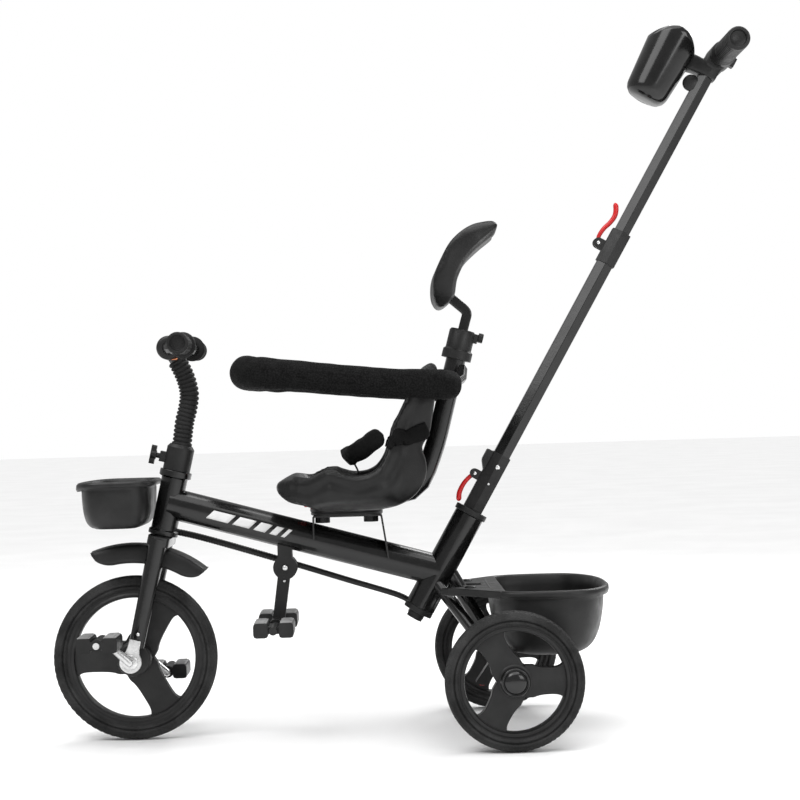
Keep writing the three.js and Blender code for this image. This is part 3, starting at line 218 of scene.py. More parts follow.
def moulded(name, low, high, rough, scale=900, depth=0.00012, coat=0.0):
    """Moulded plastic: faint cloudy tone, spark-eroded grain, rubbed patches."""
    s = Shader(name)
    s.colour(s.ramp(s.noise(26, 4), low, high))
    s.rough(s.remap(s.noise(60, 5), rough[0], rough[1]))
    s.bump(s.noise(scale, 2), depth).bump(s.noise(45, 2), 0.0004, 0.25)
    s.set(Coat_Weight=coat, Coat_Roughness=0.12)
    s.set(Specular_IOR_Level=0.3)
    return s.material


def painted(name, low, high, rough):
    """Gloss paint on steel: orange peel under a clear coat."""
    s = Shader(name)
    s.colour(s.ramp(s.noise(35, 5), low, high))
    s.rough(s.remap(s.noise(80, 6), rough[0], rough[1]))
    s.bump(s.noise(260, 2), 0.00012).bump(s.noise(18, 2), 0.0005, 0.2)
    s.set(Coat_Weight=0.35, Coat_Roughness=0.08, Specular_IOR_Level=0.3)
    return s.material


def plated(name, low, high, rough, stretch):
    """Zinc-plated steel: fine brushing and cloudy passivation."""
    s = Shader(name)
    s.set(Metallic=1.0)
    s.colour(s.ramp(s.noise(70, 5), low, high))
    s.rough(s.remap(s.noise(160, 5, stretch), rough[0], rough[1]))
    s.bump(s.noise(500, 3, stretch), 0.00008)
    return s.material


def rubbery(name, low, high, rough, scale, depth):
    """Matt rubber or foam: pitted skin with dusty bloom."""
    s = Shader(name)
    s.colour(s.ramp(s.noise(30, 6), low, high))
    s.rough(s.remap(s.noise(90, 4), rough[0], rough[1]))
    s.bump(s.cells(scale), depth).bump(s.noise(scale * 0.4, 3), depth * 1.5, 0.6)
    s.set(Specular_IOR_Level=0.16)
    return s.material


def leathery(name, low, high, rough):
    """Coated synthetic leather: pebble grain, soft creases, worn sheen."""
    s = Shader(name)
    s.colour(s.ramp(s.noise(22, 5), low, high))
    s.rough(s.remap(s.noise(55, 5), rough[0], rough[1]))
    s.bump(s.cells(620), 0.00022).bump(s.noise(1100, 2), 0.0001, 0.5)
    s.bump(s.noise(28, 3), 0.0012, 0.3)
    s.set(Coat_Weight=0.06, Coat_Roughness=0.35, Specular_IOR_Level=0.26)
    return s.material


def spacer_mesh(name, low, high):
    """Spacer mesh: rows of small raised cells, with painted shade darkening the sunken gaps between them."""
    s = Shader(name)
    cell_relief = s.cells(430, jitter=0.6)
    # painted shade: the colour darkens where the cells sink, following the same pattern as the bump
    s.colour(s.ramp(cell_relief, high, low, (0.32, 0.62)))
    s.rough(s.remap(s.noise(70, 4), 0.72, 0.9))
    s.bump(s.remap(cell_relief, 1.0, 0.0, 0.25, 0.6), 0.0003).bump(s.noise(24, 3), 0.0016, 0.35)
    s.set(Specular_IOR_Level=0.1)
    return s.material


def webbing(name, low, high):
    """Woven strap: crossing ribs of yarn, with painted shade darkening the hollows between the ribs."""
    s = Shader(name)
    weft = s.wave(420, "X")
    warp = s.wave(420, "Z")
    weave = s.math("MULTIPLY", weft, warp)
    # painted shade: the colour is darkest where the weave is lowest, matching the bump below
    s.colour(s.ramp(weave, low, high, (0.1, 0.7)))
    s.rough(s.remap(s.noise(120, 4), 0.62, 0.82))
    s.bump(weave, 0.0004).bump(s.noise(900, 2), 0.0001)
    s.set(Specular_IOR_Level=0.12)
    return s.material


def pale_floor(name):
    s = Shader(name)
    s.colour(s.ramp(s.noise(3, 3), grey(0.9), grey(0.94)))
    s.rough(s.remap(s.noise(14, 3), 0.55, 0.7))
    return s.material


MATERIALS = {
    "floor": pale_floor("floor_pale"),
    "tyre": rubbery("tyre_rubber", grey(0.015), grey(0.034), (0.58, 0.78), 380, 0.0009),
    "black_frame_paint": painted("frame_paint", grey(0.004), grey(0.008), (0.16, 0.26)),
    "bright_zinc": plated("zinc_plate", grey(0.55), grey(0.75), (0.2, 0.42), (1, 1, 8)),
    "red_plastic": moulded("red_moulding", (0.42, 0.008, 0.01), (0.55, 0.014, 0.014), (0.22, 0.34), coat=0.2),
    "soft_rubber": rubbery("grip_rubber", grey(0.01), grey(0.02), (0.5, 0.66), 900, 0.0002),
    "mesh_fabric": spacer_mesh("mesh_fabric", grey(0.002), grey(0.009)),
    "seat_leather": leathery("seat_leather", grey(0.004), grey(0.009), (0.34, 0.5)),
    "gloss_black_plastic": moulded("gloss_moulding", grey(0.004), grey(0.009), (0.12, 0.22), 500, 0.00005,
                                   0.4),
    "black_plastic": moulded("black_moulding", grey(0.008), grey(0.016), (0.34, 0.5)),
    "webbing": webbing("strap_webbing", grey(0.003), grey(0.013)),
    "tread_pad": moulded("grey_tread_pad", grey(0.22), grey(0.34), (0.5, 0.7), 420, 0.0008),
    "copper": plated("copper_end", (0.45, 0.16, 0.08), (0.6, 0.25, 0.13), (0.3, 0.5), (1, 1, 1)),
    "mark": moulded("pale_print", grey(0.62), grey(0.75), (0.3, 0.45), 700, 0.00004),
}

NODE_SLOT = {part["node"]: part["material_slot"] for part in frame["record"]["subparts"]}


# ---- CAD nodes that keep their shape ---------------------------------------------------------
def finish_node(name, bevel=0.0009):
    """Softens a CAD node's edges and gives it its slot's material."""
    node = frame["nodes"][name]
    mesh = node.data
    if "custom_normal" in mesh.attributes:
        mesh.attributes.remove(mesh.attributes["custom_normal"])
    mesh.shade_smooth()
    weld = node.modifiers.new("weld", "WELD")
    weld.merge_threshold = 0.00002
    soften = node.modifiers.new("soften", "BEVEL")
    soften.width = bevel
    soften.segments = 2
    soften.limit_method = "ANGLE"
    soften.angle_limit = math.radians(34)
    soften.harden_normals = True
    mesh.materials.clear()
    mesh.materials.append(MATERIALS[NODE_SLOT[name]])


for node_name in frame["nodes"]:
    finish_node(node_name)

# ---- building meshes -------------------------------------------------------------------------
def skin(name, rings, loop=False, smooth=True):
    """A closed skin over rings of points; loop joins the last ring to the first."""
    bm = bmesh.new()
    rows = [[bm.verts.new(point) for point in ring] for ring in rings]
    pairs = list(zip(rows, rows[1:]))
    if loop:
        pairs.append((rows[-1], rows[0]))
    for low, high in pairs:
        for i in range(len(low)):
            j = (i + 1) % len(low)
            bm.faces.new((low[i], low[j], high[j], high[i]))
    if not loop:
        bm.faces.new(rows[0][::-1])
        bm.faces.new(rows[-1])
    bmesh.ops.recalc_face_normals(bm, faces=bm.faces)
    mesh = bpy.data.meshes.new(name)
    bm.to_mesh(mesh)
    bm.free()
    if smooth:
        mesh.shade_smooth()
    obj = bpy.data.objects.new(name, mesh)
    bpy.context.scene.collection.objects.link(obj)
    return obj


def dress(obj, body, slot_name, material=None, nodes=()):
    """Gives a piece its body and a material (the slot's own unless another is named), and hides the CAD nodes
    that it stands for.
    """
    obj.data.materials.clear()
    obj.data.materials.append(MATERIALS[material or slot_name])
    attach(obj, body)
    if nodes:
        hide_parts(*nodes)
    return obj


def curve_points(knots, count):
    """Points at even steps along a smooth curve through the knots."""
    knots = [Vector(k) for k in knots]
    ends = [2 * knots[0] - knots[1], *knots, 2 * knots[-1] - knots[-2]]
    fine = []
    for a, b, c, d in zip(ends, ends[1:], ends[2:], ends[3:]):
        for step in range(24):
            t = step / 24
            fine.append(0.5 * (2 * b + (c - a) * t + (2 * a - 5 * b + 4 * c - d) * t * t
                               + (3 * b - a - 3 * c + d) * t ** 3))
    fine.append(knots[-1])
    along = [0.0]
    for a, b in zip(fine, fine[1:]):
        along.append(along[-1] + (b - a).length)
    points = []
    spot = 0
    for i in range(count):
        want = along[-1] * i / (count - 1)
        while spot < len(fine) - 2 and along[spot + 1] < want:
            spot += 1
        part = (want - along[spot]) / max(along[spot + 1] - along[spot], 1e-9)
        points.append(fine[spot].lerp(fine[spot + 1], min(part, 1)))
    return points


def swept(name, points, section, sides=24, up=(0, 0, 1)):
    """A tube along points; section(share, angle) gives the offsets along up and across."""
    rings = []
    for i, point in enumerate(points):
        ahead = points[min(i + 1, len(points) - 1)]
        behind = points[max(i - 1, 0)]
        along = (ahead - behind).normalized()
        rise = Vector(up)
        rise = (rise - along * rise.dot(along)).normalized()
        across = along.cross(rise)
        ring = []
        for k in range(sides):
            angle = 2 * math.pi * k / sides
            a, b = section(i / (len(points) - 1), angle)
            ring.append(point + rise * a + across * b)
        rings.append(ring)
    return skin(name, rings)




def ends_round(share, reach):
    """1 in the middle of a tube, falling on a quarter circle towards each end."""
    edge = min(share, 1 - share) / reach
    return 1.0 if edge >= 1 else math.sqrt(max(1 - (1 - edge) ** 2, 0.004))


def turned(name, outline, centre, axis=(0, 1, 0), segments=96, loop=False, relief=None):
    """Turns an outline of (radius, height) in metres about an axis through centre."""
    axis = Vector(axis).normalized()
    side = Vector((1, 0, 0)) if abs(axis.x) < 0.9 else Vector((0, 0, 1))
    side = (side - axis * side.dot(axis)).normalized()
    other = axis.cross(side)
    rings = []
    for row, (radius, height) in enumerate(outline):
        ring = []
        for k in range(segments):
            angle = 2 * math.pi * k / segments
            out = radius + (relief(row, k) if relief else 0)
            direction = side * math.cos(angle) + other * math.sin(angle)
            ring.append(Vector(centre) + direction * out + axis * height)
        rings.append(ring)
    return skin(name, rings, loop)


def millimetres(pairs):
    return [(a / 1000, b / 1000) for a, b in pairs]


def frozen(obj):
    """Applies an object's modifiers to its mesh."""
    graph = bpy.context.evaluated_depsgraph_get()
    mesh = bpy.data.meshes.new_from_object(obj.evaluated_get(graph))
    obj.modifiers.clear()
    obj.data = mesh
    return obj


def soft_copy(name, node, voxel, rounding, sculpt=None, pressure=4.0, cap=0.004):
    """A padded piece from a CAD node: remeshed, rounded, shaped, then swollen by cloth pressure."""
    mesh = frame["nodes"][node].data.copy()
    obj = bpy.data.objects.new(name, mesh)
    bpy.context.scene.collection.objects.link(obj)
    obj.modifiers.new("weld", "WELD").merge_threshold = 0.00002
    remesh = obj.modifiers.new("remesh", "REMESH")
    remesh.mode = "VOXEL"
    remesh.voxel_size = voxel
    smooth = obj.modifiers.new("smooth", "SMOOTH")
    smooth.iterations = rounding
    frozen(obj)
    if sculpt:
        for vertex in obj.data.vertices:
            vertex.co = sculpt(vertex.co.copy())
    rest = [v.co.copy() for v in obj.data.vertices]
    cloth = obj.modifiers.new("cloth", "CLOTH")
    cloth.settings.use_pressure = True
    cloth.settings.uniform_pressure_force = pressure
    cloth.settings.effector_weights.gravity = 0
    for frame_number in range(1, 21):
        bpy.context.scene.frame_set(frame_number)
    frozen(obj)
    bpy.context.scene.frame_set(1)
    for vertex, start in zip(obj.data.vertices, rest):
        move = vertex.co - start
        if move.length > cap:
            vertex.co = start + move * (cap / move.length)
    settle = obj.modifiers.new("settle", "SMOOTH")
    settle.iterations = 3
    obj.modifiers.new("subdivide", "SUBSURF").levels = 1
    frozen(obj)
    obj.data.shade_smooth()
    return obj


# ---- tyres and wheels ------------------------------------------------------------------------
def tyre_outline(radius, depth, half):
    """Bead, ribbed side wall, shoulder and a crowned tread, as a closed loop."""
    bead = radius - depth - 2.5
    side = [(bead, half * 0.8), (bead + 2.6, half * 0.95), (bead + 5.2, half * 0.95),
            (bead + 5.8, half * 0.8),
            (bead + 7.4, half * 0.8), (bead + 8, half), (bead + 11.2, half), (bead + 12, half * 0.88),
            (radius - 3.4, half * 0.84), (radius - 1.6, half * 0.7)]
    tread = []
    for share, drop in ((0.56, 0.6), (0.46, 0.4), (0.43, 2.0), (0.35, 2.0), (0.32, 0.2), (0.18, 0.0),
                        (0.06, 0.0), (0.03, 1.8), (-0.03, 1.8), (-0.06, 0.0), (-0.18, 0.0), (-0.32, 0.2),
                        (-0.35, 2.0), (-0.43, 2.0), (-0.46, 0.4), (-0.56, 0.6)):
        tread.append((radius - drop, half * share))
    return millimetres(side + tread + [(r, -h) for r, h in reversed(side)])


def make_tyre(name, node, body, depth):
    low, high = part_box(node)
    centre = (low + high) / 2
    radius = (high.z - low.z) * 500
    half = (high.y - low.y) * 500
    outline = tyre_outline(radius, depth, half)
    first, last = 9, len(outline) - 10

    def relief(row, k):
        if row < first or row > last:
            return 0
        shoulder = row < first + 3 or row > last - 3
        return -0.0011 if shoulder and k % 4 == 0 else (-0.0004 if (k + row) % 6 == 0 else 0)

    obj = turned(name, outline, centre, segments=288, loop=True, relief=relief)
    dress(obj, body, "tyre", nodes=[node])


make_tyre("front_tyre_tread", "front_tyre", "front_wheel", 19)
for side in ("left", "right"):
    make_tyre(f"rear_tyre_tread_{side}", f"rear_tyre_{side}", f"rear_wheel_{side}", 17)

CAP_OUTLINE = millimetres([(21.4, 0), (21.4, 2.6), (20.4, 4.4), (18.4, 5.4), (17.8, 4.5), (16.6, 4.6),
                           (16.0, 5.9), (12, 7.2), (7, 7.8), (2, 8)])
for side, sign in (("left", -1), ("right", 1)):
    low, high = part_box(f"hub_cap_{side}")
    seat_y = high.y if sign < 0 else low.y
    middle = Vector(((low.x + high.x) / 2, seat_y, (low.z + high.z) / 2))
    reach = high.y - low.y
    outline = [(r, h * reach / 0.008) for r, h in CAP_OUTLINE]
    cap = turned(f"hub_dome_{side}", outline, middle, (0, sign, 0), 80)
    dress(cap, f"rear_wheel_{side}", "gloss_black_plastic", nodes=[f"hub_cap_{side}"])


# ---- seat --------------------------------------------------------------------------------------
SEAT_RIM = [(226, 393), (250, 397), (271, 392), (303, 410), (348, 395), (379, 404), (393, 437),
            (402, 470), (420, 508), (442, 552), (464, 567)]
RIM_LINE = [W(x, z) for x, z in SEAT_RIM]


def rim_distance(co):
    """How far a point is from the seat's rim, in side view."""
    best = 1.0
    for a, b in zip(RIM_LINE, RIM_LINE[1:]):
        run = b - a
        flat = Vector((co.x - a.x, 0, co.z - a.z))
        share = min(max(flat.dot(run) / run.length_squared, 0), 1)
        best = min(best, (flat - run * share).length)
    return best


def bell(value, middle, width):
    return math.exp(-(((value - middle) / width) ** 2))


def seat_form(co):
    """Rolled bolsters, a tucked-in base, a waist and a rounded top."""
    wall = min(abs(co.y) / 0.1, 1) ** 3
    distance = rim_distance(co)
    co.y *= 1 - wall * (0.045 * bell(distance, 0.017, 0.007) + 0.03 * bell(distance, 0.0, 0.004))
    low = min(max((0.392 - co.z) / 0.045, 0), 1)
    co.y *= 1 - 0.16 * low * low
    if co.z > 0.43:
        co.y *= 1 - 0.1 * bell(co.z, 0.466, 0.022)
    if co.z > 0.525:
        co.y *= math.sqrt(max(1 - 0.55 * ((co.z - 0.525) / 0.042) ** 2, 0.2))
    return co


seat = soft_copy("seat_cushion", "seat_shell", 0.0045, 8, seat_form, 4.0, 0.0035)
dress(seat, "seat", "seat_leather", nodes=["seat_shell"])

seat_tree = BVHTree.FromObject(seat, bpy.context.evaluated_depsgraph_get())


def on_seat(point, proud):
    """The nearest place on the seat's skin, stood off by proud metres."""
    spot, normal, _, _ = seat_tree.find_nearest(Vector(point))
    return spot + normal * proud, normal


def ribbon(name, path, widths, proud=0.0014, thick=0.0022, samples=44):
    """A strap laid on the seat's skin: a flat band that follows the surface."""
    line = curve_points(path, samples)
    spots = [on_seat(point, proud) for point in line]
    rings = []
    for i, (spot, normal) in enumerate(spots):
        along = (spots[min(i + 1, samples - 1)][0] - spots[max(i - 1, 0)][0]).normalized()
        across = along.cross(normal).normalized()
        share = i / (samples - 1)
        half = widths[0] + (widths[1] - widths[0]) * share
        half *= 1 + 0.05 * math.sin(share * 17)
        ring = []
        for step in range(9):
            b = -1 + step / 4
            ring.append(on_seat(spot + across * b * half, proud + thick * (1 - 0.4 * b * b))[0])
        for step in range(9):
            b = 1 - step / 4
            ring.append(on_seat(spot + across * b * half, proud - 0.0006)[0])
        rings.append(ring)
    obj = skin(name, rings)
    return obj


def fold(share, angle, seed):
    """Soft creases that run across a bunched strap."""
    return noise.noise(Vector((share * 14 + seed, math.cos(angle) * 1.3, math.sin(angle) * 1.3)))


LAP_KNOTS = [W(388, 455, -109), W(378, 449, -106), W(364, 439, -94), W(348, 430, -74), W(337, 424, -40),
             W(333, 422, 0), W(337, 424, 40), W(348, 430, 74), W(364, 439, 94), W(378, 449, 106),
             W(388, 455, 109)]


def lap_section(share, angle):
    swell = 0.72 + 0.28 * ends_round(share, 0.16)
    crease = 1 + 0.16 * fold(share, angle, 3.1)
    shut = ends_round(share, 0.035)
    return (0.0145 * swell * crease * shut * math.cos(angle), 0.0075 * crease * shut * math.sin(angle))


lap = swept("lap_pad", curve_points(LAP_KNOTS, 110), lap_section, 36, up=(-0.55, 0, 0.83))
dress(lap, "seat", "mesh_fabric", "webbing", nodes=["lap_belt"])
for side, sign in (("left", -1), ("right", 1)):
    waist = [W(386, 452, sign * 118), W(398, 452, sign * 124), W(412, 453, sign * 112),
             W(428, 455, sign * 102), W(444, 458, sign * 95), W(459, 461, sign * 86)]
    strap = ribbon(f"waist_strap_{side}", waist, (0.0115, 0.0125))
    dress(strap, "seat", "mesh_fabric", "webbing")


# ---- crotch strap ------------------------------------------------------------------------------
strap_top = W(336, 423, 0)
strap_foot, _, _, _ = seat_tree.ray_cast(W(350, 415, 0), Vector((0, 0, -1)))
strap_line = curve_points([strap_foot + Vector((0.004, 0, -0.003)), strap_foot.lerp(strap_top, 0.5)
                           + Vector((0.005, 0, 0)), strap_top], 40)
crotch = swept("crotch_strap", strap_line, lambda share,
               angle: (0.0125 * math.cos(angle), 0.0014 * math.sin(angle)),
               24, up=(0, 1, 0))
dress(crotch, "seat", "mesh_fabric", "webbing")

# ---- guard ring pad ------------------------------------------------------------------------------
GUARD_HALF = [W(492, 526, -72), W(478, 526, -98), W(452, 528, -116), W(400, 531, -122), W(330, 538, -125),
              W(262, 546, -122), W(215, 550, -103), W(190, 553, -62)]
GUARD_LINE = GUARD_HALF + [W(183, 554, 0)] + [Vector((p.x, -p.y, p.z)) for p in reversed(GUARD_HALF)]


def guard_section(share, angle):
    middle = 1 - abs(2 * share - 1)  # 1 at the front, 0 at the rear ends
    radius = 0.0205 + 0.0052 * bell(middle, 0.95, 0.26) + 0.0018 * bell(middle, 0.06, 0.1)
    depth = 0.0006 + 0.0012 * bell(middle, 0.72, 0.1) + 0.001 * bell(middle, 0.1, 0.06)
    crease = fold(share * 3, angle, 8.3) * depth
    radius = (radius + crease) * ends_round(share, 0.018)
    return radius * 1.02 * math.cos(angle), radius * math.sin(angle)


guard = swept("guard_pad_sleeve", curve_points(GUARD_LINE, 260), guard_section, 44)
dress(guard, "seat", "mesh_fabric", nodes=["guard_pad"])


# ---- headrest --------------------------------------------------------------------------------------
def headrest_form(co):
    """A crown across the pad, fuller in the middle than at its edge."""
    edge = min(abs(co.y) / 0.085, 1)
    co.y *= 1 - 0.04 * edge ** 4
    return co


headrest = soft_copy("headrest_cushion", "headrest", 0.004, 7, headrest_form, 4.0, 0.003)
dress(headrest, "headrest", "seat_leather", nodes=["headrest"])


# ---- shapes in the handle's own frame ----------------------------------------------------------
LEAN = math.radians(30)
SOCKET = (516.8, 327.4)


def H(t, p, y=0.0):
    """A point t millimetres up the push handle's axis and p behind it."""
    return W(SOCKET[0] + t * math.sin(LEAN) + p * math.cos(LEAN),
             SOCKET[1] + t * math.cos(LEAN) - p * math.sin(LEAN), y)


def soft_box(half_rise, half_across, power=0.4):
    """A rounded-rectangle section for a swept bar, in metres."""
    def section(share, angle):
        c, s = math.cos(angle), math.sin(angle)
        return (half_rise * math.copysign(abs(c) ** power, c), half_across * math.copysign(abs(s) ** power,
                                                                                           s))
    return section


def plate(name, outline, y0, y1, bevel):
    """A moulded or cut plate: a side-view outline in millimetres given thickness and soft edges."""
    obj = skin(name, [[W(x, z, y) for x, z in outline] for y in (y0, y1)], smooth=True)
    soften = obj.modifiers.new("soften", "BEVEL")
    soften.width = bevel / 1000
    soften.segments = 4
    soften.harden_normals = True
    return frozen(obj)


# ---- stem sleeve, grips and headrest bar ---------------------------------------------------------
SLEEVE_KNOTS = [W(79, 446.2), W(80.5, 452), W(85, 482), W(90.6, 503.5), W(93.4, 525), W(89.7, 546),
                W(82.7, 564), W(76, 577)]
SLEEVE_RIBS = 21


def sleeve_section(share, angle):
    rib = abs(math.sin(math.pi * share * SLEEVE_RIBS))
    radius = 0.0124 + 0.0026 * rib ** 0.6
    if share < 0.035:
        radius = 0.0155
    return radius * math.cos(angle), radius * math.sin(angle)


sleeve = swept("ribbed_stem_sleeve", curve_points(SLEEVE_KNOTS, SLEEVE_RIBS * 9 + 1), sleeve_section, 40,
               up=(0, 1, 0))
dress(sleeve, "steering_fork", "soft_rubber", nodes=["stem_sleeve"])

GRIP_OUTLINE = [(11.4, 0), (19, 0), (19.6, 1.4), (19.2, 4.6), (17.4, 6.4), (14.6, 8)]
for ridge in range(9):
    base = 11 + ridge * 6.2
    GRIP_OUTLINE += [(14.0, base), (14.9, base + 1.1), (14.9, base + 3.9), (14.0, base + 5.0)]
GRIP_OUTLINE += [(13.6, 67), (16, 69.4), (16.4, 72), (16.2, 77), (14.6, 79.6), (12.6, 80), (11.4, 79),
                 (10.6, 74.4), (8.4, 73.8), (0.8, 73.8)]


def grip_relief(row, k):
    inside = 5 < row < len(GRIP_OUTLINE) - 11
    return 0.0003 if inside and k % 4 < 2 else 0


for side, sign in (("left", -1), ("right", 1)):
    low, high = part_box(f"grip_{side}")
    inner = high.y if sign < 0 else low.y
    base = Vector(((low.x + high.x) / 2, inner, (low.z + high.z) / 2))
    grip = turned(f"grip_rubber_{side}", millimetres(GRIP_OUTLINE), base, (0, sign, 0), 72,
                  relief=grip_relief)
    dress(grip, "steering_fork", "soft_rubber", nodes=[f"grip_{side}"])

BAR_KNOTS = [W(498.2, 548), W(506, 577), W(514.2, 607), W(519, 624), W(521.6, 634), W(519, 641), W(508, 651),
             W(495, 662.5)]
bar = swept("headrest_flat_bar", curve_points(BAR_KNOTS, 64), soft_box(0.0052, 0.0076, 0.3), 32, up=(0, 1, 0))
dress(bar, "headrest", "black_frame_paint", nodes=["headrest_bar"])

# ---- cup holder ------------------------------------------------------------------------------------
CUP_P = -68
CUP_FOOT = 702


def cup_rim(p):
    return 801 - (p + 67.5) ** 2 / 64


def cup_radius(t):
    return 33.5 + (t - CUP_FOOT) * 0.075


def cup_rings(segments=88):
    rings = []

    def ring(radius_at, height_at):
        points = []
        for k in range(segments):
            angle = 2 * math.pi * k / segments
            edge = cup_rim(CUP_P + cup_radius(790) * math.cos(angle))
            t = height_at(edge)
            r = radius_at(t)
            points.append(H(t, CUP_P + r * math.cos(angle), r * math.sin(angle)))
        rings.append(points)

    for radius, t in ((1, 684.5), (17, 684.9), (25, 687.2), (30.4, 692.4), (32.8, 698)):
        ring(lambda _, r=radius: r, lambda _, h=t: h)
    for step in range(13):
        ring(cup_radius, lambda edge, s=step: CUP_FOOT + (edge - CUP_FOOT) * s / 12)
    ring(lambda t: cup_radius(t) - 1.6, lambda edge: edge + 1.2)
    ring(lambda t: cup_radius(t) - 3.4, lambda edge: edge - 0.4)
    for step in (9, 6, 3, 0):
        ring(lambda t: cup_radius(t) - 3.6, lambda edge,
             s=step: CUP_FOOT + 2 + (edge - CUP_FOOT - 2) * s / 12)
    ring(lambda _: 22, lambda _: 699)
    ring(lambda _: 1, lambda _: 698.6)
    return rings


cup = skin("cup_shell", cup_rings())
dress(cup, "handle_upper", "gloss_black_plastic", nodes=["cup_holder"])
bracket = swept("cup_bracket", [H(768, -37), H(770, -26), H(771, -14), H(771, 0), H(771, 14.4)],
                lambda share, angle: soft_box(0.0135 - 0.003 * share, 0.0155)(share, angle), 28, up=(0.5, 0,
                                                                                                     0.866))
dress(bracket, "handle_upper", "black_plastic")
knob = turned("cup_clip_knob", millimetres([(1, 0), (10.6, 0), (12.4, 1.6), (12.4, 7), (10.4, 9), (1, 9.4)]),
              H(742, -15.5, -9), (0, 1, 0), 56)
dress(knob, "handle_upper", "black_plastic")
housing = swept("bar_neck", [H(772, 0), H(779, 0.4), H(786, 1.6), H(794, 4), H(802, 6)],
                lambda share, angle: soft_box(0.0152 + 0.003 * share, 0.0150 + 0.004 * share)(share,
                                                                                              angle), 32,
                up=(0, 1, 0))
dress(housing, "handle_upper", "black_plastic")

# ---- levers and rivets -----------------------------------------------------------
def lever_shape(name, body, slot_name, node, route, pivot):
    def section(share, angle):
        full = 0.0029 + 0.0012 * min(share / 0.3, 1)
        shut = ends_round(share, 0.09)
        return (0.0031 * shut * (1 + 0.35 * share) * math.cos(angle), full * shut * math.sin(angle))

    grip = swept(name, curve_points([H(t, p) for p, t in route], 60), section, 24, up=(0.6, 0, 0.3))
    dress(grip, body, slot_name, nodes=[node])
    boss = turned(f"{name}_boss", millimetres([(0.5, -2.9), (4.4, -2.9), (5, -2.2), (5, 2.2), (4.4, 2.9),
                                               (0.5, 2.9)]),
                  H(*pivot), (0, 1, 0), 40)
    dress(boss, body, slot_name)
    for sign in (-1, 1):
        rivet(f"{name}_rivet_{'left' if sign < 0 else 'right'}", body, H(pivot[0], pivot[1], sign * 6.9),
              sign, 2.9)


def rivet(name, body, spot, sign, radius, proud=1.3):
    """A domed rivet head that stands on a side face."""
    outline = [(radius, -0.6), (radius, 0.2), (radius * 0.86, proud * 0.62), (radius * 0.5, proud * 0.93),
               (0.3, proud)]
    dress(turned(name, millimetres(outline), spot, (0, sign, 0), 32), body, "bright_zinc")


lever_shape("upper_lever_grip", "upper_lever", "red_plastic", "upper_lever",
            [(-24, 460), (-27.8, 470), (-26.5, 484), (-22.5, 496), (-21, 508), (-24, 518),
             (-30, 527)], (460, -24))
lever_shape("lower_lever_grip", "lower_lever", "red_plastic", "lower_lever",
            [(-23, 60), (-27.5, 51), (-30.5, 38), (-30, 24), (-26.5, 15), (-24, 11)], (60, -23))
SIDE = 0.0171 * 1000
for sign, label in ((-1, "left"), (1, "right")):
    rivet(f"sleeve_rivet_{label}", "push_handle", H(84, 2.4, sign * SIDE), sign, 3.6)
    rivet(f"sleeve_pin_{label}", "push_handle", H(55, 2.2, sign * SIDE), sign, 2.0)

# ---- print on the main tube and the steering rod's ribbed cover ------------------------------------
TUBE_FRONT = (58.3, 359.3)
TUBE_REAR = (468.3, 243.4)
TUBE_RUN = Vector((TUBE_REAR[0] - TUBE_FRONT[0], 0, TUBE_REAR[1] - TUBE_FRONT[1])).normalized()
TUBE_UP = Vector((-TUBE_RUN.z, 0, TUBE_RUN.x))


def on_tube(s, turn, radius, sign):
    """A point of the main tube's skin, s along it and turned up by turn from its side."""
    start = W(*TUBE_FRONT)
    return start + TUBE_RUN * (s / 1000) + (TUBE_UP * math.sin(turn) + Vector((0, sign,
                                                                               0)) * math.cos(turn)) * radius


def slanted_bar(name, s0, width, sign):
    turns = [math.radians(-17 + 34 * k / 6) for k in range(7)]
    rings = []
    for step in range(5):
        s = s0 + width * step / 4
        outer = [on_tube(s + 16 * math.sin(turn), turn, 0.02408, sign) for turn in turns]
        inner = [on_tube(s + 16 * math.sin(turn), turn, 0.0238, sign) for turn in reversed(turns)]
        rings.append(outer + inner)
    dress(skin(name, rings), "frame", "bright_zinc", "mark")


for sign, label in ((-1, "left"), (1, "right")):
    spot = 66
    for index, width in enumerate((34, 26, 18, 11, 6)):
        slanted_bar(f"tube_stripe_{label}_{index}", spot, width, sign)
        spot += width + 7

low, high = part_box("steering_rod")
rod_y = (low.y + high.y) * 500
ROD_KNOTS = [(48, 316.6), (62, 313.6), (100, 304), (165, 284), (255, 255), (330, 230), (400, 207),
             (423.2, 195),
             (435.2, 186)]

# ---- steering rod cover, hub and push bar ------------------------------------------------------------
def rod_section(share, angle):
    ribbed = share < 0.5
    radius = 0.0046 + (0.0007 * abs(math.sin(math.pi * share * 96)) if ribbed else 0.0)
    return radius * math.cos(angle), radius * math.sin(angle)


rod_cover = swept("steering_rod_cover", curve_points([W(x, z, rod_y) for x, z in ROD_KNOTS], 420),
                  rod_section, 20)
dress(rod_cover, "steering_rod", "black_plastic")

low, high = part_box("handlebar_hub")
hub_middle = (low + high) / 2
hub_half = (high.y - low.y) * 500
hub_radius = (high.z - low.z) * 500
HUB_OUTLINE = [(1, -hub_half), (hub_radius - 4, -hub_half), (hub_radius - 1.2, -hub_half + 1.2),
               (hub_radius, -hub_half + 4), (hub_radius, -3), (hub_radius - 0.9, -2), (hub_radius - 0.9, 2),
               (hub_radius, 3), (hub_radius, hub_half - 4), (hub_radius - 1.2, hub_half - 1.2),
               (hub_radius - 4, hub_half), (1, hub_half)]
hub = turned("handlebar_hub_shell", millimetres(HUB_OUTLINE), hub_middle, segments=72)
dress(hub, "steering_fork", "black_plastic", nodes=["handlebar_hub"])
clip = swept("stem_copper_clip", [hub_middle + Vector((0.004 + 0.003 * k, -0.0145,
                                                       -0.0172)) for k in range(4)],
             soft_box(0.0016, 0.0026), 20)
dress(clip, "steering_fork", "bright_zinc", "copper")

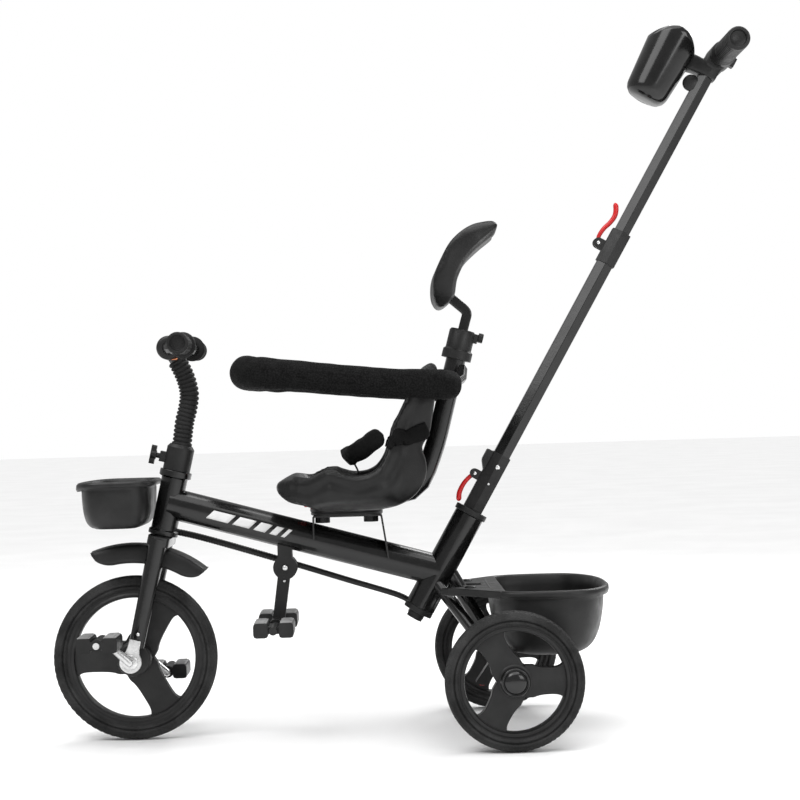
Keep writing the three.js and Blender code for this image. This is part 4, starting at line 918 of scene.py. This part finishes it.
BAR_REACH = 137.4
BAR_OUTLINE = [(1, -131.4), (11.2, -131.4), (11.6, -132), (12.2, -136.6), (13, -BAR_REACH),
               (15.6, -BAR_REACH),
               (17.3, -135.6), (17.5, -132)]
for ridge in range(11):
    base = -128 + ridge * 8
    BAR_OUTLINE += [(17.5, base), (17.0, base + 0.8), (17.0, base + 1.8), (17.5, base + 2.6)]
BAR_OUTLINE += [(17.5, -34), (18.8, -32), (19.4, -28)]
BAR_OUTLINE += [(r, -h) for r, h in reversed(BAR_OUTLINE)]
push_grip = turned("push_bar_grip", millimetres(BAR_OUTLINE), H(800, 6), segments=72)
dress(push_grip, "handle_upper", "black_plastic", nodes=["push_bar"])


# ---- baskets -----------------------------------------------------------------------------------------
def plan_point(box, share, grow, z, front_drop=0.0, corners=(0.7, 0.4)):
    """A point on a basket's rounded plan, grown outwards, dropping towards its front."""
    low, high = box
    angle = 2 * math.pi * share
    c, s = math.cos(angle), math.sin(angle)
    power = corners[0] + (corners[1] - corners[0]) * (0.5 + 0.5 * c)
    x = (low.x + high.x) / 2 + ((high.x - low.x) / 2 + grow) * math.copysign(abs(c) ** power, c)
    y = (low.y + high.y) / 2 + ((high.y - low.y) / 2 + grow) * math.copysign(abs(s) ** power, s)
    front = max(-c, 0) ** 2
    return Vector((x, y, z - front_drop * front))


def tub(name, node, body, box, lip, droop, belly, corners, bow=2.6, wall=0.0026, count=96):
    """A moulded tub: rolled rim, curved sides and a rounded floor, with a real wall."""
    depth = box[1].z - box[0].z
    rings = []

    def ring(grow, z, drop=0.0):
        rings.append([plan_point(box, k / count, grow, z, drop, corners) for k in range(count)])

    ring(-0.0014, box[1].z - lip, droop)
    ring(0, box[1].z - lip * 0.6, droop)
    ring(-0.0006, box[1].z - 0.0024, droop * 0.5)
    ring(-0.003, box[1].z - 0.0004, droop * 0.35)
    ring(-0.0062, box[1].z - 0.0004, droop * 0.2)
    ring(-0.0095, box[1].z - 0.003, droop * 0.1)
    steps = 12
    for step in range(1, steps + 1):
        share = step / steps
        inset = 0.0105 + belly * (1 - math.sqrt(max(1 - share ** bow, 0)))
        ring(-inset, box[1].z - 0.003 - (depth - 0.003 - wall) * math.sin(share * math.pi / 2) ** 0.9)
    ring(-belly * 1.5 - 0.012, box[0].z + wall)
    ring(-belly * 1.5 - 0.012, box[0].z)
    for step in range(steps, 0, -1):
        share = step / steps
        inset = 0.0105 - wall + belly * (1 - math.sqrt(max(1 - share ** bow, 0)))
        ring(-inset, box[1].z - 0.003 - (depth - 0.003) * math.sin(share * math.pi / 2) ** 0.9)
    ring(-0.0088, box[1].z - 0.0052, droop * 0.2)
    ring(-0.0044, box[1].z - 0.0056, droop * 0.5)
    ring(-0.0032, box[1].z - lip, droop)
    obj = skin(name, rings, loop=True)
    dress(obj, body, "black_plastic", nodes=[node])
    return obj


tub("front_basket_tub", "front_basket", "frame", (W(-79, 325, -98), W(41, 397, 98)), 0.009, 0.007, 0.034,
    (0.68, 0.36), 2.4)
tub("rear_basket_tub", "rear_basket", "frame", (W(536, 123, -150), W(723, 222, 150)), 0.012, 0.0, 0.062,
    (0.4, 0.8), 1.7)
SHELF = [(468, -52), (478, -66), (500, -74), (552, -131), (560, -120), (560, 120), (552, 131), (500, 74),
         (478, 66), (468, 52), (486, 46), (502, 40), (502, 16), (531, 14), (531, -14), (502, -16), (502, -40),
         (486, -46)]


def rear_shelf():
    """The flat shelf that carries the rear basket's rim forward round the strut."""
    rings = [[W(x, z, y) for x, y in SHELF] for z in (210.6, 221.4)]
    obj = skin("rear_basket_shelf", rings)
    soften = obj.modifiers.new("soften", "BEVEL")
    soften.width = 0.0016
    soften.segments = 3
    soften.harden_normals = True
    return frozen(obj)


dress(rear_shelf(), "frame", "black_plastic")
for sign, label in ((-1, "left"), (1, "right")):
    bump = turned(f"shelf_bump_{label}", millimetres([(9, 0), (8.4, 1.6), (6.4, 2.9), (0.6, 3.2)]),
                  W(512, 221, sign * 56), (0, 0, 1), 40)
    dress(bump, "frame", "black_plastic")


# ---- fender ------------------------------------------------------------------------------------------
FENDER_TOP = 176
FENDER_FROM, FENDER_TO = 49.5, 110.5
AXLE = (0, 125)


def fender_ring(angle):
    """One section of the fender: a crowned top with a curved skirt each side."""
    edge = min(angle - FENDER_FROM, FENDER_TO - angle) / 11
    full = math.sqrt(max(1 - (1 - min(edge, 1)) ** 2, 0.0))
    skirt = 7 + 23 * full
    outer = []
    for k in range(19):
        y = -1 + k / 9
        crown = 2.6 * (1 - y * y)
        outer.append((FENDER_TOP - 3.4 + crown, 24.5 * y))
    left = [(FENDER_TOP - skirt * s, -29 + 3.4 * (1 - s) ** 3) for s in (1.0, 0.8, 0.6, 0.4, 0.22)]
    right = [(r, -y) for r, y in reversed(left)]
    outside = left + outer + right
    inside = [(r - (3 if abs(y) < 24.6 else 0.4), y * (0.9 if abs(y) > 24 else 0.96)) for r,
              y in reversed(outside)]
    out = []
    for r, y in outside + inside:
        a = math.radians(angle)
        out.append(W(AXLE[0] + r * math.cos(a), AXLE[1] + r * math.sin(a), y))
    return out


fender_turns = [FENDER_FROM + (FENDER_TO - FENDER_FROM) * k / 72 for k in range(73)]
fender = skin("fender_shell", [fender_ring(a) for a in fender_turns])
dress(fender, "steering_fork", "black_plastic", nodes=["front_fender"])


# ---- wheels --------------------------------------------------------------------------------------------
def spoke_outline(rim_inner, half, hub):
    """One broad spoke along +X, flaring into the hub and the rim."""
    side = []
    for k in range(25):
        r = 14 + (rim_inner + 2.5 - 14) * k / 24
        flare = 4.5 * math.exp(-max(r - hub, 0) / 9) + 15 * math.exp(-max(rim_inner - r, 0) / 5)
        side.append((r, half + flare))
    return side + [(r, -w) for r, w in reversed(side)]


def make_wheel(name, node, body, axle, y, sizes, turns, hub_span):
    rim_inner, rim_outer, rim_half, spoke_half, web = sizes
    rim = [(rim_inner, -rim_half + 1), (rim_inner + 1, -rim_half), (rim_inner + 4.5, -rim_half),
           (rim_inner + 5.5, -rim_half + 1.6), (rim_outer - 2.5, -rim_half + 2), (rim_outer - 1.5,
                                                                                  -rim_half + 0.4),
           (rim_outer - 0.3, -rim_half + 1.4)]
    loop = rim + [(r, -h) for r, h in reversed(rim)] + [(rim_inner - 1.2, 6), (rim_inner - 1.2, -6)]
    centre = W(axle[0], axle[1], y)
    ring = turned(f"{name}_rim", millimetres(loop), centre, segments=144, loop=True)
    dress(ring, body, "black_plastic", nodes=[node])
    hub_low, hub_high = hub_span
    hub = [(1, hub_low), (22, hub_low), (25, hub_low + 1.4), (26, hub_low + 4), (26.6, 0), (26, hub_high - 4),
           (25, hub_high - 1.4), (22, hub_high), (1, hub_high)]
    dress(turned(f"{name}_hub", millimetres(hub), centre, segments=80), body, "black_plastic")
    shape = spoke_outline(rim_inner, spoke_half, 26)
    for index, turn in enumerate(turns):
        c, s = math.cos(math.radians(turn)), math.sin(math.radians(turn))
        spoke = plate(f"{name}_spoke_{index}", [(axle[0] + a * c - b * s, axle[1] + a * s + b * c) for a,
                                                b in shape],
                      y - web, y + web, 5.5)
        dress(spoke, body, "black_plastic")


make_wheel("front_wheel_moulding", "front_wheel", "front_wheel", (0, 125), 0, (92.5, 105.7, 14, 20.5, 8.8),
           (60, 180, 300), (-31, 31))
for label, sign in (("left", -1), ("right", 1)):
    span = (-10, 30) if sign < 0 else (-30, 10)
    make_wheel(f"rear_wheel_moulding_{label}", f"rear_wheel_{label}", f"rear_wheel_{label}", (564, 100),
               sign * 197,
               (73, 82.7, 14, 18.5, 8.8), (0, 120, 240), span)



# ---- fork ends, tread pads and small fastenings ----------------------------------------------------------
RAKE = math.radians(13.5)  # how far the steering axis leans back
FRONT_AXLE_Z = 125  # millimetres above the floor
EYE = 16.5  # radius of the round end of a fork plate
TREAD_SIDE = 19  # from the middle of a pedal or footrest pad to each tread
FOOTREST_X, FOOTREST_TOP = 217, 181
FOOTREST_NEAR, FOOTREST_FAR = 39, 95  # ends of a footrest pad, out from the middle plane


def fork_local(u, v):
    """A point u up the steering axis from the front axle and v behind it."""
    return (u * math.sin(RAKE) + v * math.cos(RAKE), FRONT_AXLE_Z + u * math.cos(RAKE) - v * math.sin(RAKE))


eye_side = [(EYE * math.sin(math.radians(a)), EYE * math.cos(math.radians(a))) for a in range(-90, 34, 8)]
fork_side = eye_side + [(14.5, 10.6), (20, 9.2), (26, 8.8), (34, 8.6)]
fork_outline = [fork_local(u, v) for u, v in fork_side] + [fork_local(u, -v) for u, v in fork_side[:0:-1]]
for label, sign in (("left", -1), ("right", 1)):
    low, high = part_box(f"fork_end_{label}")
    end = plate(f"fork_end_plate_{label}", fork_outline, low.y * 1000, high.y * 1000, 0.9)
    dress(end, "steering_fork", "bright_zinc", nodes=[f"fork_end_{label}"])
    face = low.y if sign < 0 else high.y
    washer_outline = millimetres([(6.6, 0), (11.2, 0), (11.6, 0.5), (11, 1.3), (6.6, 1.5)])
    washer = turned(f"axle_washer_{label}", washer_outline, Vector((W(0, 0).x, face, FRONT_AXLE_Z / 1000)),
                    (0, sign, 0), 48)
    dress(washer, "steering_fork", "bright_zinc")
    rivet(f"fork_screw_{label}", "steering_fork", W(*fork_local(44, 3), face * 1000 + sign * 3.4), sign, 2.6)


def tread(name, body, x, z, y0, y1, half=9.2, rows=7):
    """A textured grip plate on a pedal pad: rows of small raised bars."""
    base = plate(name, [(x - half, z - 0.4), (x + half, z - 0.4), (x + half, z + 0.9), (x - half, z + 0.9)],
                 y0, y1, 0.35)
    dress(base, body, "bright_zinc", "tread_pad")
    for row in range(rows):
        y = y0 + (y1 - y0) * (row + 0.5) / rows
        bar_outline = [(x - half + 2, z + 0.7), (x + half - 2, z + 0.7), (x + half - 2.6, z + 1.9),
                       (x - half + 2.6, z + 1.9)]
        bar = plate(f"{name}_bar_{row}", bar_outline, y - 1.7, y + 1.7, 0.3)
        dress(bar, body, "bright_zinc", "tread_pad")


for label, sign in (("left", -1), ("right", 1)):
    for index, dx in enumerate((-TREAD_SIDE, TREAD_SIDE)):
        near, far = sorted((sign * FOOTREST_NEAR, sign * FOOTREST_FAR))
        tread(f"footrest_tread_{label}_{index}", "footrest", FOOTREST_X + dx, FOOTREST_TOP, near, far)
        low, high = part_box(f"pedal_{label}")
        middle = (low + high) / 2
        tread(f"pedal_tread_{label}_{index}", f"pedal_{label}", middle.x * 1000 + SHIFT + dx, high.z * 1000,
              low.y * 1000 + 3, high.y * 1000 - 3)
    rivet(f"fold_pin_{label}", "frame", W(233, 256, sign * 17.2), sign, 4.2, 1.6)
    rivet(f"fold_dot_{label}", "footrest", W(231, 235.5, sign * 9.4), sign, 2.4)


# ---- brake pad ---------------------------------------------------------------------------
brake_low, brake_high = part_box("brake_lever")
pad_outline = [(526, 61), (534, 60), (537.5, 65.5), (529.5, 70.5)]
brake_pad = plate("brake_pad", pad_outline, brake_low.y * 1000 + 5.5, brake_high.y * 1000 - 5.5, 1.1)
dress(brake_pad, "brake_lever", "red_plastic")


make_camera()
make_stage()
